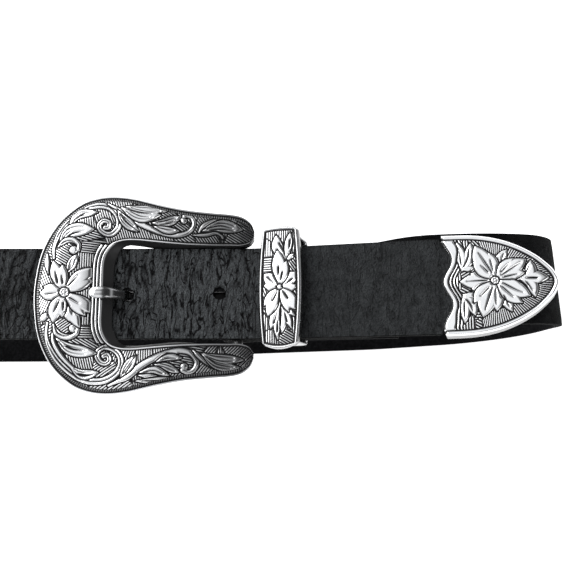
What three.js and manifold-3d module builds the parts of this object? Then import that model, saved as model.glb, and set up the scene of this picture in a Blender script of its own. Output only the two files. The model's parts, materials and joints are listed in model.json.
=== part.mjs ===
// Western belt, fastened, lying on its back: millimetres, +X along the belt towards its
// tip, +Y across the strap, +Z up. The buckle's used hole is at x = 0 until the last step.
import * as THREE from "three";
import { mergeVertices } from "three/addons/utils/BufferGeometryUtils.js";
import Module from "manifold-3d";

const wasm = await Module();
wasm.setup();

// Leather
const STRAP_WIDTH = 32;
const STRAP_THICKNESS = 3;
const STRAP_CHAMFER = 0.5;
const LAYER_GAP = 0.4;
const LAYER = STRAP_THICKNESS + LAYER_GAP;
const HOLE_DIAMETER = 4;
const HOLE_PITCH = 30.5;
const HOLES_FROM_USED = [1, -1, -2, -3];

// Where the loop runs
const TOP_LEVEL = 60;
const LEFT_BEND_X = -198;
const RISE_STARTS_X = 37;
const RISE_RADIUS = 45;
const RISE_DEGREES = 13;

// Gap that touching pieces keep
const GAP = 0.35;

// Buckle
const BUCKLE_Y = -0.6;
const BAR_X = 36.5;
const BAR_RADIUS = 1.9;
const FOLD_RADIUS = BAR_RADIUS + GAP + STRAP_THICKNESS / 2;
const BAR_LEVEL = TOP_LEVEL - LAYER - FOLD_RADIUS;
const FRAME_EDGE = 2.6;
const FRAME_CROWN = 1.8;
const FRAME_RELIEF = 0.6;
const FRAME_RIM = { outer: 1.1, inner: 1.5 };
const LUG = { fromX: 33.3, toX: 39.7, fromY: 16.95, toY: 20.8, top: 60 };

// Prong
const PRONG_WIDTH = 4;
const PRONG_THICKNESS = 2;
const PRONG_RING_WALL = 1.2;
const SLOT_WIDTH = PRONG_WIDTH + 1.6;
const SLOT_LENGTH = 15;

// Keeper, measured along the rising strap
const KEEPER_U = 5.9;
const KEEPER_Y = 1.1;
const KEEPER_TILT = 5;
const KEEPER = { half: 20.7, middle: 7.5, end: 5.7, bulge: 1.3, plate: 1.5, dome: 0.8, leg: 5.4 };
const KEEPER_PLAY = 1;
const KEEPER_WALL = 1.4;
const KEEPER_INSIDE = 17.6;
const KEEPER_RELIEF = 0.6;

// Metal tip, measured along the rising strap
const TIP_U = 59.6;
const TIP_FRONT = 1.5;
const TIP_DOME = 0.6;
const TIP_BACK = 1;
const TIP_WAVE = { depth: 1.4, at: 0.9, half: 7.4 };
const TIP_WALL = 1.2;
const TIP_LEATHER = 2.4;
const TIP_RELIEF = 0.5;

const RIVET = { radius: 2, flange: 4.5, flangeThickness: 1, at: [21.5, 38] };
const TURN_BACK_END_U = 46;

const LEATHER = new THREE.MeshStandardMaterial({ color: 0x26262a, roughness: 0.6, metalness: 0 });
const METAL = new THREE.MeshStandardMaterial({ color: 0xc9cacc, roughness: 0.25, metalness: 1 });
const STEEL = new THREE.MeshStandardMaterial({ color: 0x9a9a98, roughness: 0.35, metalness: 1 });

const radians = THREE.MathUtils.degToRad;
const range = (count) => Array.from({ length: count }, (_, i) => i);

// A closed geometry as a solid that can be joined and cut.
function solid(geometry) {
  const bare = geometry.index ? geometry.toNonIndexed() : geometry.clone();
  bare.deleteAttribute("normal");
  bare.deleteAttribute("uv");
  const merged = mergeVertices(bare, 1e-4);
  return new wasm.Manifold(
    new wasm.Mesh({
      numProp: 3,
      vertProperties: new Float32Array(merged.attributes.position.array),
      triVerts: new Uint32Array(merged.index.array),
    }),
  );
}

function mesh(name, body, material) {
  const { vertProperties, triVerts } = body.getMesh();
  const geometry = new THREE.BufferGeometry();
  geometry.setAttribute("position", new THREE.BufferAttribute(vertProperties, 3));
  geometry.setIndex(new THREE.BufferAttribute(triVerts, 1));
  geometry.computeVertexNormals();
  const made = new THREE.Mesh(geometry, material);
  made.name = name;
  return made;
}

const joined = (bodies) => bodies.reduce((all, body) => all.add(body));

function box(x0, x1, y0, y1, z0, z1) {
  const geometry = new THREE.BoxGeometry(x1 - x0, y1 - y0, z1 - z0);
  geometry.translate((x0 + x1) / 2, (y0 + y1) / 2, (z0 + z1) / 2);
  return solid(geometry);
}

// A solid skinned over closed rings of equal count, capped at both ends.
function skin(rings) {
  const sides = rings[0].length;
  const points = rings.flat();
  const index = [];
  range(rings.length - 1).forEach((r) =>
    range(sides).forEach((k) => {
      const a = r * sides + k;
      const b = r * sides + ((k + 1) % sides);
      index.push(a, a + sides, b, b, a + sides, b + sides);
    }),
  );
  const last = (rings.length - 1) * sides;
  range(sides - 2).forEach((k) => {
    index.push(0, k + 1, k + 2);
    index.push(last, last + k + 2, last + k + 1);
  });
  const geometry = new THREE.BufferGeometry().setFromPoints(points);
  geometry.setIndex(index);
  return solid(geometry);
}

// A path in the XZ plane made of straight and round stretches. Each stretch also says how far
// sideways the strap lies at its end, and how far its width leans from +Y there.
class Walk {
  constructor(x, z, heading) {
    this.stops = [{ x, z, heading, length: 0, y: 0, lean: 0, marked: true }];
  }

  get end() {
    return this.stops.at(-1);
  }

  stretch(length, turn, steps, { y = this.end.y, lean = this.end.lean } = {}) {
    range(steps).forEach((i) => {
      const { x, z, heading, length: before } = this.end;
      const step = length / steps;
      const middle = radians(heading + turn / steps / 2);
      this.stops.push({
        x: x + step * Math.cos(middle),
        z: z + step * Math.sin(middle),
        heading: heading + turn / steps,
        length: before + step,
        marked: i === steps - 1,
      });
    });
    Object.assign(this.end, { y, lean });
    return this;
  }

  straight(length, aside) {
    return this.stretch(length, 0, Math.max(1, Math.round(length / 14)), aside);
  }

  toX(x, aside) {
    return this.straight(Math.abs(x - this.end.x), aside);
  }

  arc(radius, turn, aside) {
    const steps = Math.max(2, Math.ceil(Math.abs(turn) / 12));
    const chord = 2 * radius * Math.sin(radians(Math.abs(turn) / steps / 2));
    return this.stretch(chord * steps, turn, steps, aside);
  }

  // The stops, with sideways place and lean eased between the stretches' ends.
  sections() {
    const marks = this.stops.filter((stop) => stop.marked);
    return this.stops.map((stop) => {
      const after = Math.max(1, marks.findIndex((mark) => mark.length >= stop.length));
      const [a, b] = [marks[after - 1], marks[after]];
      const share = (stop.length - a.length) / (b.length - a.length);
      const { lerp } = THREE.MathUtils;
      return { ...stop, y: lerp(a.y, b.y, share), lean: lerp(a.lean, b.lean, share) };
    });
  }
}

// The stack of layers rises along u from where its bend ends, and n points out of its face.
const RISE_X = RISE_STARTS_X + RISE_RADIUS * Math.sin(radians(RISE_DEGREES));
const RISE_Z = TOP_LEVEL + RISE_RADIUS * (1 - Math.cos(radians(RISE_DEGREES)));

// Height of a point above the rising strap's middle plane.
function aboveRise(x, z) {
  const angle = radians(RISE_DEGREES);
  return (z - RISE_Z) * Math.cos(angle) - (x - RISE_X) * Math.sin(angle);
}

// Half outline of the metal tip: u from its cut end, v from its axis.
const TIP_SIDE = [
  { u: 0, v: 16.5 },
  { u: 10, v: 16.4 },
  { u: 17.3, v: 15.1 },
  { u: 23.3, v: 12.9 },
  { u: 28.6, v: 9.9 },
  { u: 32, v: 7.1 },
  { u: 34.5, v: 4.1 },
];
const TIP_LENGTH = 35.8;

// The outline's half width at a distance from the cut end, shrunk by a margin.
function tipHalfWidth(u, margin) {
  const at = u + margin;
  const after = TIP_SIDE.findIndex((row) => row.u >= at);
  if (after < 0) return 0.4;
  if (after === 0) return TIP_SIDE[0].v - margin;
  const [a, b] = [TIP_SIDE[after - 1], TIP_SIDE[after]];
  return THREE.MathUtils.mapLinear(at, a.u, b.u, a.v, b.v) - margin;
}

// From the fold's top: buckle end, right bend, back on the floor, left bend, front, tip end.
function strapFront() {
  const floorLevel = STRAP_THICKNESS / 2;
  const walk = new Walk(BAR_X, TOP_LEVEL - LAYER, 0)
    .toX(RISE_STARTS_X)
    .arc(RISE_RADIUS + LAYER, RISE_DEGREES)
    .straight(34)
    .arc(70, -RISE_DEGREES, { y: 2.6 })
    .arc(98, -25, { y: 5.6, lean: -1 })
    .arc(26, -75, { y: 8, lean: -2.4 });
  const { z, heading } = walk.end;
  const landing = (z - floorLevel) / (1 + Math.cos(radians(heading)));
  walk
    .arc(landing, -180 - heading, { y: 5.4, lean: -1 })
    .toX(89, { y: 2, lean: 0 })
    .toX(43, { y: -0.4 })
    .toX(-46, { y: -3.6 })
    .toX(LEFT_BEND_X, { y: -4.4 })
    .arc((TOP_LEVEL - floorLevel) / 2, -180, { y: 0 })
    .toX(RISE_STARTS_X)
    .arc(RISE_RADIUS, RISE_DEGREES)
    .straight(TIP_U - GAP);
  const capStart = walk.end.length;
  const capLength = TIP_LENGTH - 2 * TIP_WALL - 3 * GAP;
  walk.stretch(capLength, 0, 12);
  return walk.sections().map((stop) => {
    const inCap = stop.length - capStart;
    if (inCap < 0) return stop;
    const halfWidth = tipHalfWidth(inCap, TIP_WALL + GAP);
    return { ...stop, halfWidth, thickness: TIP_LEATHER };
  });
}

// Round the bar and back under the buckle end, up against it.
function strapFold() {
  const approach = 30;
  const settle = 15;
  const walk = new Walk(BAR_X, TOP_LEVEL - LAYER, 180).arc(FOLD_RADIUS, 180 + approach);
  const steepness = radians(approach - RISE_DEGREES);
  const climb = -2 * LAYER - aboveRise(walk.end.x, walk.end.z) - settle * (1 - Math.cos(steepness));
  walk.straight(climb / Math.sin(steepness)).arc(settle, RISE_DEGREES - approach);
  walk.straight(TURN_BACK_END_U - 1);
  return walk.sections();
}

// Eight corners of the strap's section at one stop of its way.
function strapRing(stop, ahead) {
  const halfWidth = stop.halfWidth ?? STRAP_WIDTH / 2;
  const half = (stop.thickness ?? STRAP_THICKNESS) / 2;
  const bevel = Math.min(STRAP_CHAMFER, halfWidth / 2);
  const lean = radians(stop.lean);
  const across = new THREE.Vector3(Math.sin(lean), Math.cos(lean), 0);
  across.addScaledVector(ahead, -across.dot(ahead)).normalize();
  const out = new THREE.Vector3().crossVectors(ahead, across);
  const corners = [
    [halfWidth - bevel, half],
    [halfWidth, half - bevel],
    [halfWidth, bevel - half],
    [halfWidth - bevel, -half],
    [bevel - halfWidth, -half],
    [-halfWidth, bevel - half],
    [-halfWidth, half - bevel],
    [bevel - halfWidth, half],
  ];
  return corners.map(([w, t]) =>
    new THREE.Vector3(stop.x, stop.y, stop.z).addScaledVector(across, w).addScaledVector(out, t),
  );
}

function strap(prongWay) {
  const turned = (stop) => ({ ...stop, heading: stop.heading - 180 });
  const fold = strapFold().slice(1).reverse().map(turned);
  const stops = [...fold, ...strapFront()];
  const rings = stops.map((stop, i) => {
    const before = stops[Math.max(0, i - 1)];
    const after = stops[Math.min(stops.length - 1, i + 1)];
    const drift = (after.y - before.y) / Math.hypot(after.x - before.x, after.z - before.z);
    const heading = radians(stop.heading);
    const ahead = new THREE.Vector3(Math.cos(heading), drift, Math.sin(heading));
    return strapRing(stop, ahead.normalize());
  });
  const leather = skin(rings);
  const halfSlot = SLOT_WIDTH / 2;
  const topUnderside = TOP_LEVEL - STRAP_THICKNESS / 2;
  const slot = box(
    BAR_X - SLOT_LENGTH / 2,
    BAR_X + SLOT_LENGTH / 2,
    BUCKLE_Y - halfSlot,
    BUCKLE_Y + halfSlot,
    BAR_LEVEL - 9,
    topUnderside - LAYER_GAP / 2,
  );
  const holes = HOLES_FROM_USED.map((count) => {
    const punch = new THREE.CylinderGeometry(HOLE_DIAMETER / 2, HOLE_DIAMETER / 2, 6, 20);
    punch.rotateX(Math.PI / 2).translate(count * HOLE_PITCH, 0, TOP_LEVEL);
    return solid(punch);
  });
  const rivetHoles = RIVET.at.map((u) => {
    const drill = new THREE.CylinderGeometry(RIVET.radius + GAP, RIVET.radius + GAP, 10, 20);
    drill.rotateX(Math.PI / 2).translate(u, 0, -LAYER * 1.5 - 1.55);
    return solid(onRise(drill));
  });
  return leather.subtract(joined([slot, ...holes, ...rivetHoles, prongWay]));
}

// Moves a geometry from the rising strap's own axes to the loop's.
function onRise(geometry) {
  return geometry.rotateY(-radians(RISE_DEGREES)).translate(RISE_X, 0, RISE_Z);
}

// Half of the C: outer and inner edge, and the underside's level, from its left to an arm's end.
const FRAME_ROWS = [
  { ox: -32.5, oy: 0, ix: -9.5, iy: 0, under: 61.9 },
  { ox: -32.1, oy: 6, ix: -9.5, iy: 4.5, under: 61.9 },
  { ox: -31, oy: 12.6, ix: -9.5, iy: 9.5, under: 61.9 },
  { ox: -28.9, oy: 18.6, ix: -9, iy: 12.8, under: 61.9 },
  { ox: -25.7, oy: 24.2, ix: -7.6, iy: 15.6, under: 61.9 },
  { ox: -21.7, oy: 28.5, ix: -5.4, iy: 17.6, under: 61.9 },
  { ox: -16.8, oy: 32, ix: -2.6, iy: 18.5, under: 61.4 },
  { ox: -11.3, oy: 33.8, ix: 0, iy: 18.7, under: 60.6 },
  { ox: -5.5, oy: 34.2, ix: 3, iy: 18.6, under: 59.8 },
  { ox: 1.2, oy: 33.4, ix: 7, iy: 18.2, under: 59 },
  { ox: 10.5, oy: 31.2, ix: 13.5, iy: 17.6, under: 58.4 },
  { ox: 19, oy: 29.6, ix: 20, iy: 17.2, under: 58 },
  { ox: 27.5, oy: 28.7, ix: 27.5, iy: 17, under: 57.8 },
  { ox: 34.7, oy: 28.1, ix: 34, iy: 17, under: 57.8 },
  { ox: 38.6, oy: 27.1, ix: 37.8, iy: 17, under: 57.8 },
  { ox: 41.4, oy: 24.9, ix: 40.8, iy: 17.9, under: 57.8 },
  { ox: 42.6, oy: 22.2, ix: 42.4, iy: 19.8, under: 57.8 },
];
const FRAME_TOP = 61.9 + FRAME_EDGE;
const ARM_TOP = 62.8;

// The C's edges at a share of its half, eased through the rows.
function frameEdges(share) {
  const at = share * (FRAME_ROWS.length - 1);
  const low = Math.min(FRAME_ROWS.length - 2, Math.floor(at));
  const eased = (key) =>
    THREE.MathUtils.lerp(FRAME_ROWS[low][key], FRAME_ROWS[low + 1][key], at - low);
  return Object.fromEntries(Object.keys(FRAME_ROWS[0]).map((key) => [key, eased(key)]));
}

// The C as one crowned band, with its top lifted by a height for the relief.
function frameBand(lift) {
  const half = range(FRAME_ROWS.length).map((i) => i / (FRAME_ROWS.length - 1));
  const shares = [...half.slice(1).reverse().map((s) => -s), ...half];
  const rings = shares.map((share) => {
    const { ox, oy, ix, iy, under } = frameEdges(Math.abs(share));
    const side = Math.sign(share) || 1;
    const width = Math.hypot(ox - ix, oy - iy);
    const slope = THREE.MathUtils.smoothstep(Math.abs(share), 0.45, 1);
    const edge = THREE.MathUtils.lerp(FRAME_TOP, ARM_TOP, slope);
    const crown = FRAME_CROWN * Math.min(1, width / 14);
    const point = (t, level) => {
      const x = THREE.MathUtils.lerp(ox, ix, t);
      const y = THREE.MathUtils.lerp(oy, iy, t) * side;
      return new THREE.Vector3(x, y, level);
    };
    const crowned = (t) => point(t, edge + crown * (1 - (2 * t - 1) ** 2) + lift);
    const outerRim = Math.min(FRAME_RIM.outer, width / 4) / width;
    const innerRim = 1 - Math.min(FRAME_RIM.inner, width / 4) / width;
    const rimLevel = edge + crown * (1 - (2 * outerRim - 1) ** 2) + (lift || FRAME_RELIEF);
    return [
      point(0, rimLevel - 0.4),
      point(outerRim / 2, rimLevel),
      point(outerRim, rimLevel),
      crowned(outerRim * 1.2),
      ...[0.3, 0.5, 0.7].map(crowned),
      crowned(1 - (1 - innerRim) * 1.2),
      point(innerRim, rimLevel),
      point(1, rimLevel - 0.2),
      point(1, under),
      point(0, under),
    ].reverse();
  });
  return skin(rings);
}

// A leaf or petal: a pointed oval from its root to its tip.
function leafShape(x, y, tipX, tipY, width) {
  const along = new THREE.Vector2(tipX - x, tipY - y);
  const aside = new THREE.Vector2(-along.y, along.x).setLength(width * 0.75);
  const at = (share, side) => [
    x + along.x * share + aside.x * side,
    y + along.y * share + aside.y * side,
  ];
  const shape = new THREE.Shape();
  shape.moveTo(x, y);
  shape.bezierCurveTo(...at(0.15, -1), ...at(0.7, -1), tipX, tipY);
  shape.bezierCurveTo(...at(0.7, 1), ...at(0.15, 1), x, y);
  return shape;
}

// A scroll: a band that winds inwards, from an angle and radius, thinning to its eye.
function scrollShape(x, y, from, sweep, radius, eye, width) {
  const steps = 14;
  const edge = (side) =>
    range(steps + 1).map((i) => {
      const share = i / steps;
      const angle = radians(from + sweep * share);
      const middle = radius * (eye / radius) ** share;
      const reach = middle + (side * width * (1 - 0.45 * share)) / 2;
      return new THREE.Vector2(x + reach * Math.cos(angle), y + reach * Math.sin(angle));
    });
  return new THREE.Shape([...edge(1), ...edge(-1).reverse()]);
}

function circleShape(x, y, radius) {
  const shape = new THREE.Shape();
  shape.absarc(x, y, radius, 0, Math.PI * 2);
  return shape;
}

function prism(shape, z0, z1, segments = 4) {
  const options = { depth: z1 - z0, bevelEnabled: false, curveSegments: segments };
  return solid(new THREE.ExtrudeGeometry(shape, options).translate(0, 0, z0));
}

// Flower on the C's left: a petal for each tip round one centre.
const FRAME_FLOWER = { x: -21.7, y: 0 };
const FRAME_PETALS = [
  { x: -25.4, y: 10.8, width: 6.4 },
  { x: -13.3, y: 7.2, width: 6 },
  { x: -29.4, y: 0, width: 6 },
  { x: -24.8, y: -10.6, width: 6.4 },
  { x: -12.2, y: -5.6, width: 6.4 },
];

// Leaves on one side of the C, mirrored on the other: root, tip and width.
const FRAME_LEAVES = [
  { x: -24.4, y: 16.2, tipX: -11.8, tipY: 27.6, width: 4 },
  { x: -23.4, y: 14.6, tipX: -12.3, tipY: 21.6, width: 3.2 },
  { x: -2.6, y: 28.4, tipX: 3, tipY: 22, width: 3.4 },
  { x: 0.8, y: 28.6, tipX: 10.4, tipY: 27.4, width: 3 },
  { x: 8.4, y: 24.6, tipX: 17.2, tipY: 27.2, width: 3 },
  { x: 8.4, y: 21.4, tipX: 15.4, tipY: 19.6, width: 2.4 },
  { x: 24.4, y: 21.6, tipX: 39, tipY: 24, width: 5 },
  { x: 25, y: 25.6, tipX: 36, tipY: 26, width: 2.4 },
];

// Scrolls on one side of the C, mirrored on the other.
const FRAME_SCROLLS = [
  { x: -8, y: 22.6, from: 150, sweep: -520, radius: 8.6, eye: 1.6, width: 1.6 },
  { x: 19.6, y: 23.6, from: -130, sweep: 400, radius: 4.2, eye: 1.2, width: 1.3 },
];

function frameRelief() {
  const petals = FRAME_PETALS.map((tip) =>
    leafShape(FRAME_FLOWER.x, FRAME_FLOWER.y, tip.x, tip.y, tip.width),
  );
  const button = circleShape(FRAME_FLOWER.x, FRAME_FLOWER.y, 1.8);
  const leaves = [1, -1].flatMap((side) =>
    FRAME_LEAVES.map((leaf) =>
      leafShape(leaf.x, leaf.y * side, leaf.tipX, leaf.tipY * side, leaf.width),
    ),
  );
  const raised = [...petals, button, ...leaves].map((shape) => prism(shape, 60, 72));
  const scrolls = FRAME_SCROLLS.flatMap((row) => {
    const shape = scrollShape(row.x, row.y, row.from, row.sweep, row.radius, row.eye, row.width);
    const half = prism(shape, 60, 72);
    return [half, half.mirror([0, 1, 0])];
  });
  return joined([...raised, ...scrolls]).intersect(frameBand(FRAME_RELIEF));
}

function buckleFrame() {
  const { fromX, toX, fromY, toY, top } = LUG;
  const bottom = BAR_LEVEL - BAR_RADIUS;
  const lug = box(fromX, toX, fromY, toY, bottom, top);
  const bar = new THREE.CylinderGeometry(BAR_RADIUS, BAR_RADIUS, 2 * fromY + 1, 24);
  bar.translate(BAR_X, 0, BAR_LEVEL);
  const parts = [frameBand(0), frameRelief(), lug, lug.mirror([0, 1, 0]), solid(bar)];
  return joined(parts).translate([0, BUCKLE_Y, 0]);
}

// The prong's middle line from its ring to its tip, with its width at each stop.
const PRONG_STOPS = [
  { x: 34.6, z: 55.9, width: 4 },
  { x: 30, z: 56.5, width: 3.6 },
  { x: 18, z: 56.7, width: 3.2 },
  { x: 6.5, z: 56.8, width: 3 },
  { x: 3.4, z: 58.2, width: 3 },
  { x: -1.6, z: 62.8, width: 3 },
  { x: -5.6, z: 66.2, width: 3.4 },
  { x: -8.2, z: 67.2, width: 4 },
  { x: -11, z: 67.2, width: 4.2 },
  { x: -13, z: 66.6, width: 3.8 },
];

// A flat-sided bar along the prong's stops, grown by a margin on every side.
function prongBar(margin) {
  const rings = PRONG_STOPS.map(({ x, z, width }, i) => {
    const before = PRONG_STOPS[Math.max(0, i - 1)];
    const after = PRONG_STOPS[Math.min(PRONG_STOPS.length - 1, i + 1)];
    const length = Math.hypot(after.x - before.x, after.z - before.z);
    const [nx, nz] = [(before.z - after.z) / length, (after.x - before.x) / length];
    const half = width / 2 + margin;
    const thick = PRONG_THICKNESS / 2 + margin;
    const corner = [0.6, 1];
    const side = [1, 0.55];
    const outline = [corner, side, [side[0], -side[1]], [corner[0], -1]];
    const all = [...outline, ...outline.map(([w, t]) => [-w, t]).reverse()];
    return all.map(([w, t]) =>
      new THREE.Vector3(x + nx * thick * t, BUCKLE_Y + half * w, z + nz * thick * t),
    );
  });
  return skin(rings);
}

function prong() {
  const inside = BAR_RADIUS + GAP;
  const outside = inside + PRONG_RING_WALL;
  const ring = new THREE.Shape();
  ring.absarc(0, 0, outside, 0, Math.PI * 2);
  ring.holes.push(circleShape(0, 0, inside));
  const options = { depth: PRONG_WIDTH, bevelEnabled: false, curveSegments: 14 };
  const geometry = new THREE.ExtrudeGeometry(ring, options);
  geometry.rotateX(Math.PI / 2).translate(BAR_X, BUCKLE_Y + PRONG_WIDTH / 2, BAR_LEVEL);
  const bore = new THREE.CylinderGeometry(inside, inside, 8, 28).translate(BAR_X, BUCKLE_Y, BAR_LEVEL);
  return prongBar(0).add(solid(geometry)).subtract(solid(bore));
}

// The keeper's face: a barrel outline, narrower and rounded at both ends.
function keeperOutline(margin) {
  const { half, middle, end, bulge } = KEEPER;
  const shape = new THREE.Shape();
  const [m, e, h] = [middle - margin, end - margin, half - margin];
  shape.moveTo(-e, -h + bulge);
  shape.quadraticCurveTo(0, -h - bulge, e, -h + bulge);
  shape.quadraticCurveTo(2 * m - e, 0, e, h - bulge);
  shape.quadraticCurveTo(0, h + bulge, -e, h - bulge);
  shape.quadraticCurveTo(e - 2 * m, 0, -e, -h + bulge);
  return shape;
}

const KEEPER_PETALS = [
  { x: -0.8, y: 11, width: 5 },
  { x: -5.4, y: 3.2, width: 5 },
  { x: 5.4, y: 3.8, width: 5 },
  { x: -4.2, y: -8.2, width: 5 },
  { x: 4.4, y: -6.4, width: 5 },
];
const KEEPER_LEAVES = [
  { x: 0, y: 11.5, tipX: -2.6, tipY: 16.8, width: 3.4 },
  { x: 0, y: 11.5, tipX: 2, tipY: 18, width: 3.4 },
  { x: 0, y: -8, tipX: -3, tipY: -14, width: 3.6 },
  { x: 0, y: -10, tipX: 1, tipY: -17.6, width: 3.6 },
];

// Metal loop round the stacked layers, in the rising strap's axes.
function keeper() {
  const face = STRAP_THICKNESS / 2 + KEEPER_PLAY;
  const back = 2 * LAYER + STRAP_THICKNESS / 2 + 2 * KEEPER_PLAY;
  const { plate, dome, leg } = KEEPER;
  const bevel = { bevelEnabled: true, bevelThickness: dome, bevelSize: 1.4, bevelSegments: 3 };
  const options = { depth: plate, curveSegments: 12, ...bevel, bevelOffset: -1.4 };
  const cover = solid(new THREE.ExtrudeGeometry(keeperOutline(0), options).translate(0, 0, face));
  const trimmed = cover.subtract(box(-12, 12, -30, 30, face - 3, face));
  const outside = KEEPER_INSIDE + KEEPER_WALL;
  const legs = [-1, 1].map((side) => {
    const [a, b] = [side * KEEPER_INSIDE, side * outside].sort((p, q) => p - q);
    return box(-leg, leg, a, b, -back - KEEPER_WALL, face + 0.6);
  });
  const strip = box(-leg, leg, -outside, outside, -back - KEEPER_WALL, -back);
  const top = face + plate + dome;
  const rim = prism(keeperOutline(0.9), top - 0.4, top + KEEPER_RELIEF, 12).subtract(
    prism(keeperOutline(2), top - 1, top + 1, 12),
  );
  const petals = KEEPER_PETALS.map((tip) => leafShape(0, 0.8, tip.x, tip.y, tip.width));
  const leaves = KEEPER_LEAVES.map((leaf) =>
    leafShape(leaf.x, leaf.y, leaf.tipX, leaf.tipY, leaf.width),
  );
  const shapes = [...petals, ...leaves, circleShape(0, 0.8, 1.3)];
  const ornament = shapes.map((shape) => prism(shape, top - 0.4, top + KEEPER_RELIEF));
  return joined([trimmed, ...legs, strip, rim, ...ornament]);
}

// The tip's outline with a scalloped cut end, shrunk by a margin.
function tipOutline(margin, scalloped) {
  const side = TIP_SIDE.map(({ u, v }) => new THREE.Vector2(u, v));
  const nose = new THREE.Vector2(TIP_LENGTH, 0);
  const other = side.map(({ x, y }) => new THREE.Vector2(x, -y)).reverse();
  const round = new THREE.SplineCurve([...side.slice(1), nose, ...other.slice(0, -1)]);
  const scale = 1 - margin / 16.5;
  const points = round.getPoints(40).map(({ x, y }) => {
    return new THREE.Vector2(18 + (x - 18) * (1 - margin / 18), y * scale);
  });
  const half = 16.5 - margin;
  const cut = range(21).map((i) => {
    const v = -half + (2 * half * i) / 20;
    const { depth, at, half: halfWave } = TIP_WAVE;
    const wave = scalloped ? depth * (1 - Math.cos(((v - at) * Math.PI) / halfWave)) : 0;
    return new THREE.Vector2(wave + margin, v);
  });
  return new THREE.Shape([...points, ...cut]);
}

const TIP_FLOWER = { x: 16.4, y: 0.5 };
const TIP_PETALS = [
  { x: 10.8, y: 11.4, width: 6 },
  { x: 25, y: 6.2, width: 5.6 },
  { x: 6.4, y: 0.4, width: 5.4 },
  { x: 11.2, y: -9.8, width: 6 },
  { x: 25.4, y: -4.4, width: 5.6 },
  { x: 18.8, y: 9, width: 3 },
  { x: 20, y: -8.6, width: 3 },
];
const TIP_LEAVES = [
  { x: 24.6, y: 1, tipX: 28, tipY: 6, width: 2.8 },
  { x: 24.6, y: 1, tipX: 31.4, tipY: 0.9, width: 3 },
  { x: 24.6, y: 1, tipX: 28, tipY: -4, width: 2.8 },
  { x: 4.4, y: 7, tipX: 9, tipY: 13.4, width: 3.2 },
  { x: 4.4, y: -6, tipX: 9, tipY: -13, width: 3.2 },
];

// Metal cap over the strap's end, open at the cut side, in the rising strap's axes.
function tip() {
  const inside = TIP_LEATHER / 2 + GAP;
  const under = -inside - TIP_BACK;
  const top = inside + TIP_FRONT;
  const shell = prism(tipOutline(0, true), under, top);
  const dome = prism(tipOutline(1.2, true), top - 0.2, top + TIP_DOME);
  const pocket = prism(tipOutline(TIP_WALL, false), -inside, inside).translate([-1.5, 0, 0]);
  const mouth = box(-3, 4, -tipHalfWidth(0, TIP_WALL), tipHalfWidth(0, TIP_WALL), -inside, inside);
  const crown = top + TIP_DOME;
  const high = crown + TIP_RELIEF;
  const rim = prism(tipOutline(1.2, true), crown - 0.2, high).subtract(
    prism(tipOutline(2.4, true), crown - 1, high + 1),
  );
  const petals = TIP_PETALS.map((row) =>
    leafShape(TIP_FLOWER.x, TIP_FLOWER.y, row.x, row.y, row.width),
  );
  const leaves = TIP_LEAVES.map((row) => leafShape(row.x, row.y, row.tipX, row.tipY, row.width));
  const shapes = [...petals, ...leaves, circleShape(TIP_FLOWER.x, TIP_FLOWER.y, 1.3)];
  const ornament = shapes.map((shape) => prism(shape, crown - 0.2, high));
  const cap = joined([shell, dome, rim, ...ornament]).subtract(pocket.add(mouth));
  return cap.translate([TIP_U, 0, 0]);
}

// Flush rivet through the buckle end and its turned-back layer, with a flange underneath.
function rivet(u) {
  const top = -LAYER + STRAP_THICKNESS / 2;
  const seat = -2 * LAYER - STRAP_THICKNESS / 2 - GAP;
  const { radius, flange, flangeThickness } = RIVET;
  const profile = [
    [0, seat - flangeThickness],
    [flange, seat - flangeThickness],
    [flange, seat],
    [radius, seat],
    [radius, top],
    [0, top],
  ].map(([r, z]) => new THREE.Vector2(r, z));
  const geometry = new THREE.LatheGeometry(profile, 20).rotateX(Math.PI / 2);
  return solid(geometry.translate(u, 0, 0));
}

const rise = new THREE.Group();
rise.position.set(RISE_X, 0, RISE_Z);
rise.rotation.y = -radians(RISE_DEGREES);
const loop = mesh("keeper", keeper(), METAL);
loop.position.set(KEEPER_U, KEEPER_Y, 0);
loop.rotation.y = -radians(KEEPER_TILT);
rise.add(loop, mesh("tip", tip(), METAL));
RIVET.at.forEach((u, i) => rise.add(mesh("rivet_" + (i + 1), rivet(u), STEEL)));

const belt = new THREE.Group();
belt.add(
  mesh("strap", strap(prongBar(GAP)), LEATHER),
  mesh("buckle_frame", buckleFrame(), METAL),
  mesh("prong", prong(), METAL),
  rise,
);

// Puts the origin at the middle of the underside.
belt.updateMatrixWorld(true);
const bounds = new THREE.Box3().setFromObject(belt, true);
const middle = bounds.getCenter(new THREE.Vector3());
belt.position.set(-middle.x, -middle.y, -bounds.min.z);

export default belt;
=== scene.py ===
"""Dresses the fastened western belt: cast silver-tone relief, wrinkled black leather, studio.

All lengths in the tables are millimetres in the belt's own axes, with x = 0 at the used hole and
y = 0 on the strap's axis. Belt.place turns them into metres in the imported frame.
"""
import json
import logging
import math
from dataclasses import dataclass, field, replace
from enum import Enum

import bpy
import numpy as np
from mathutils import Matrix, Vector

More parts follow.
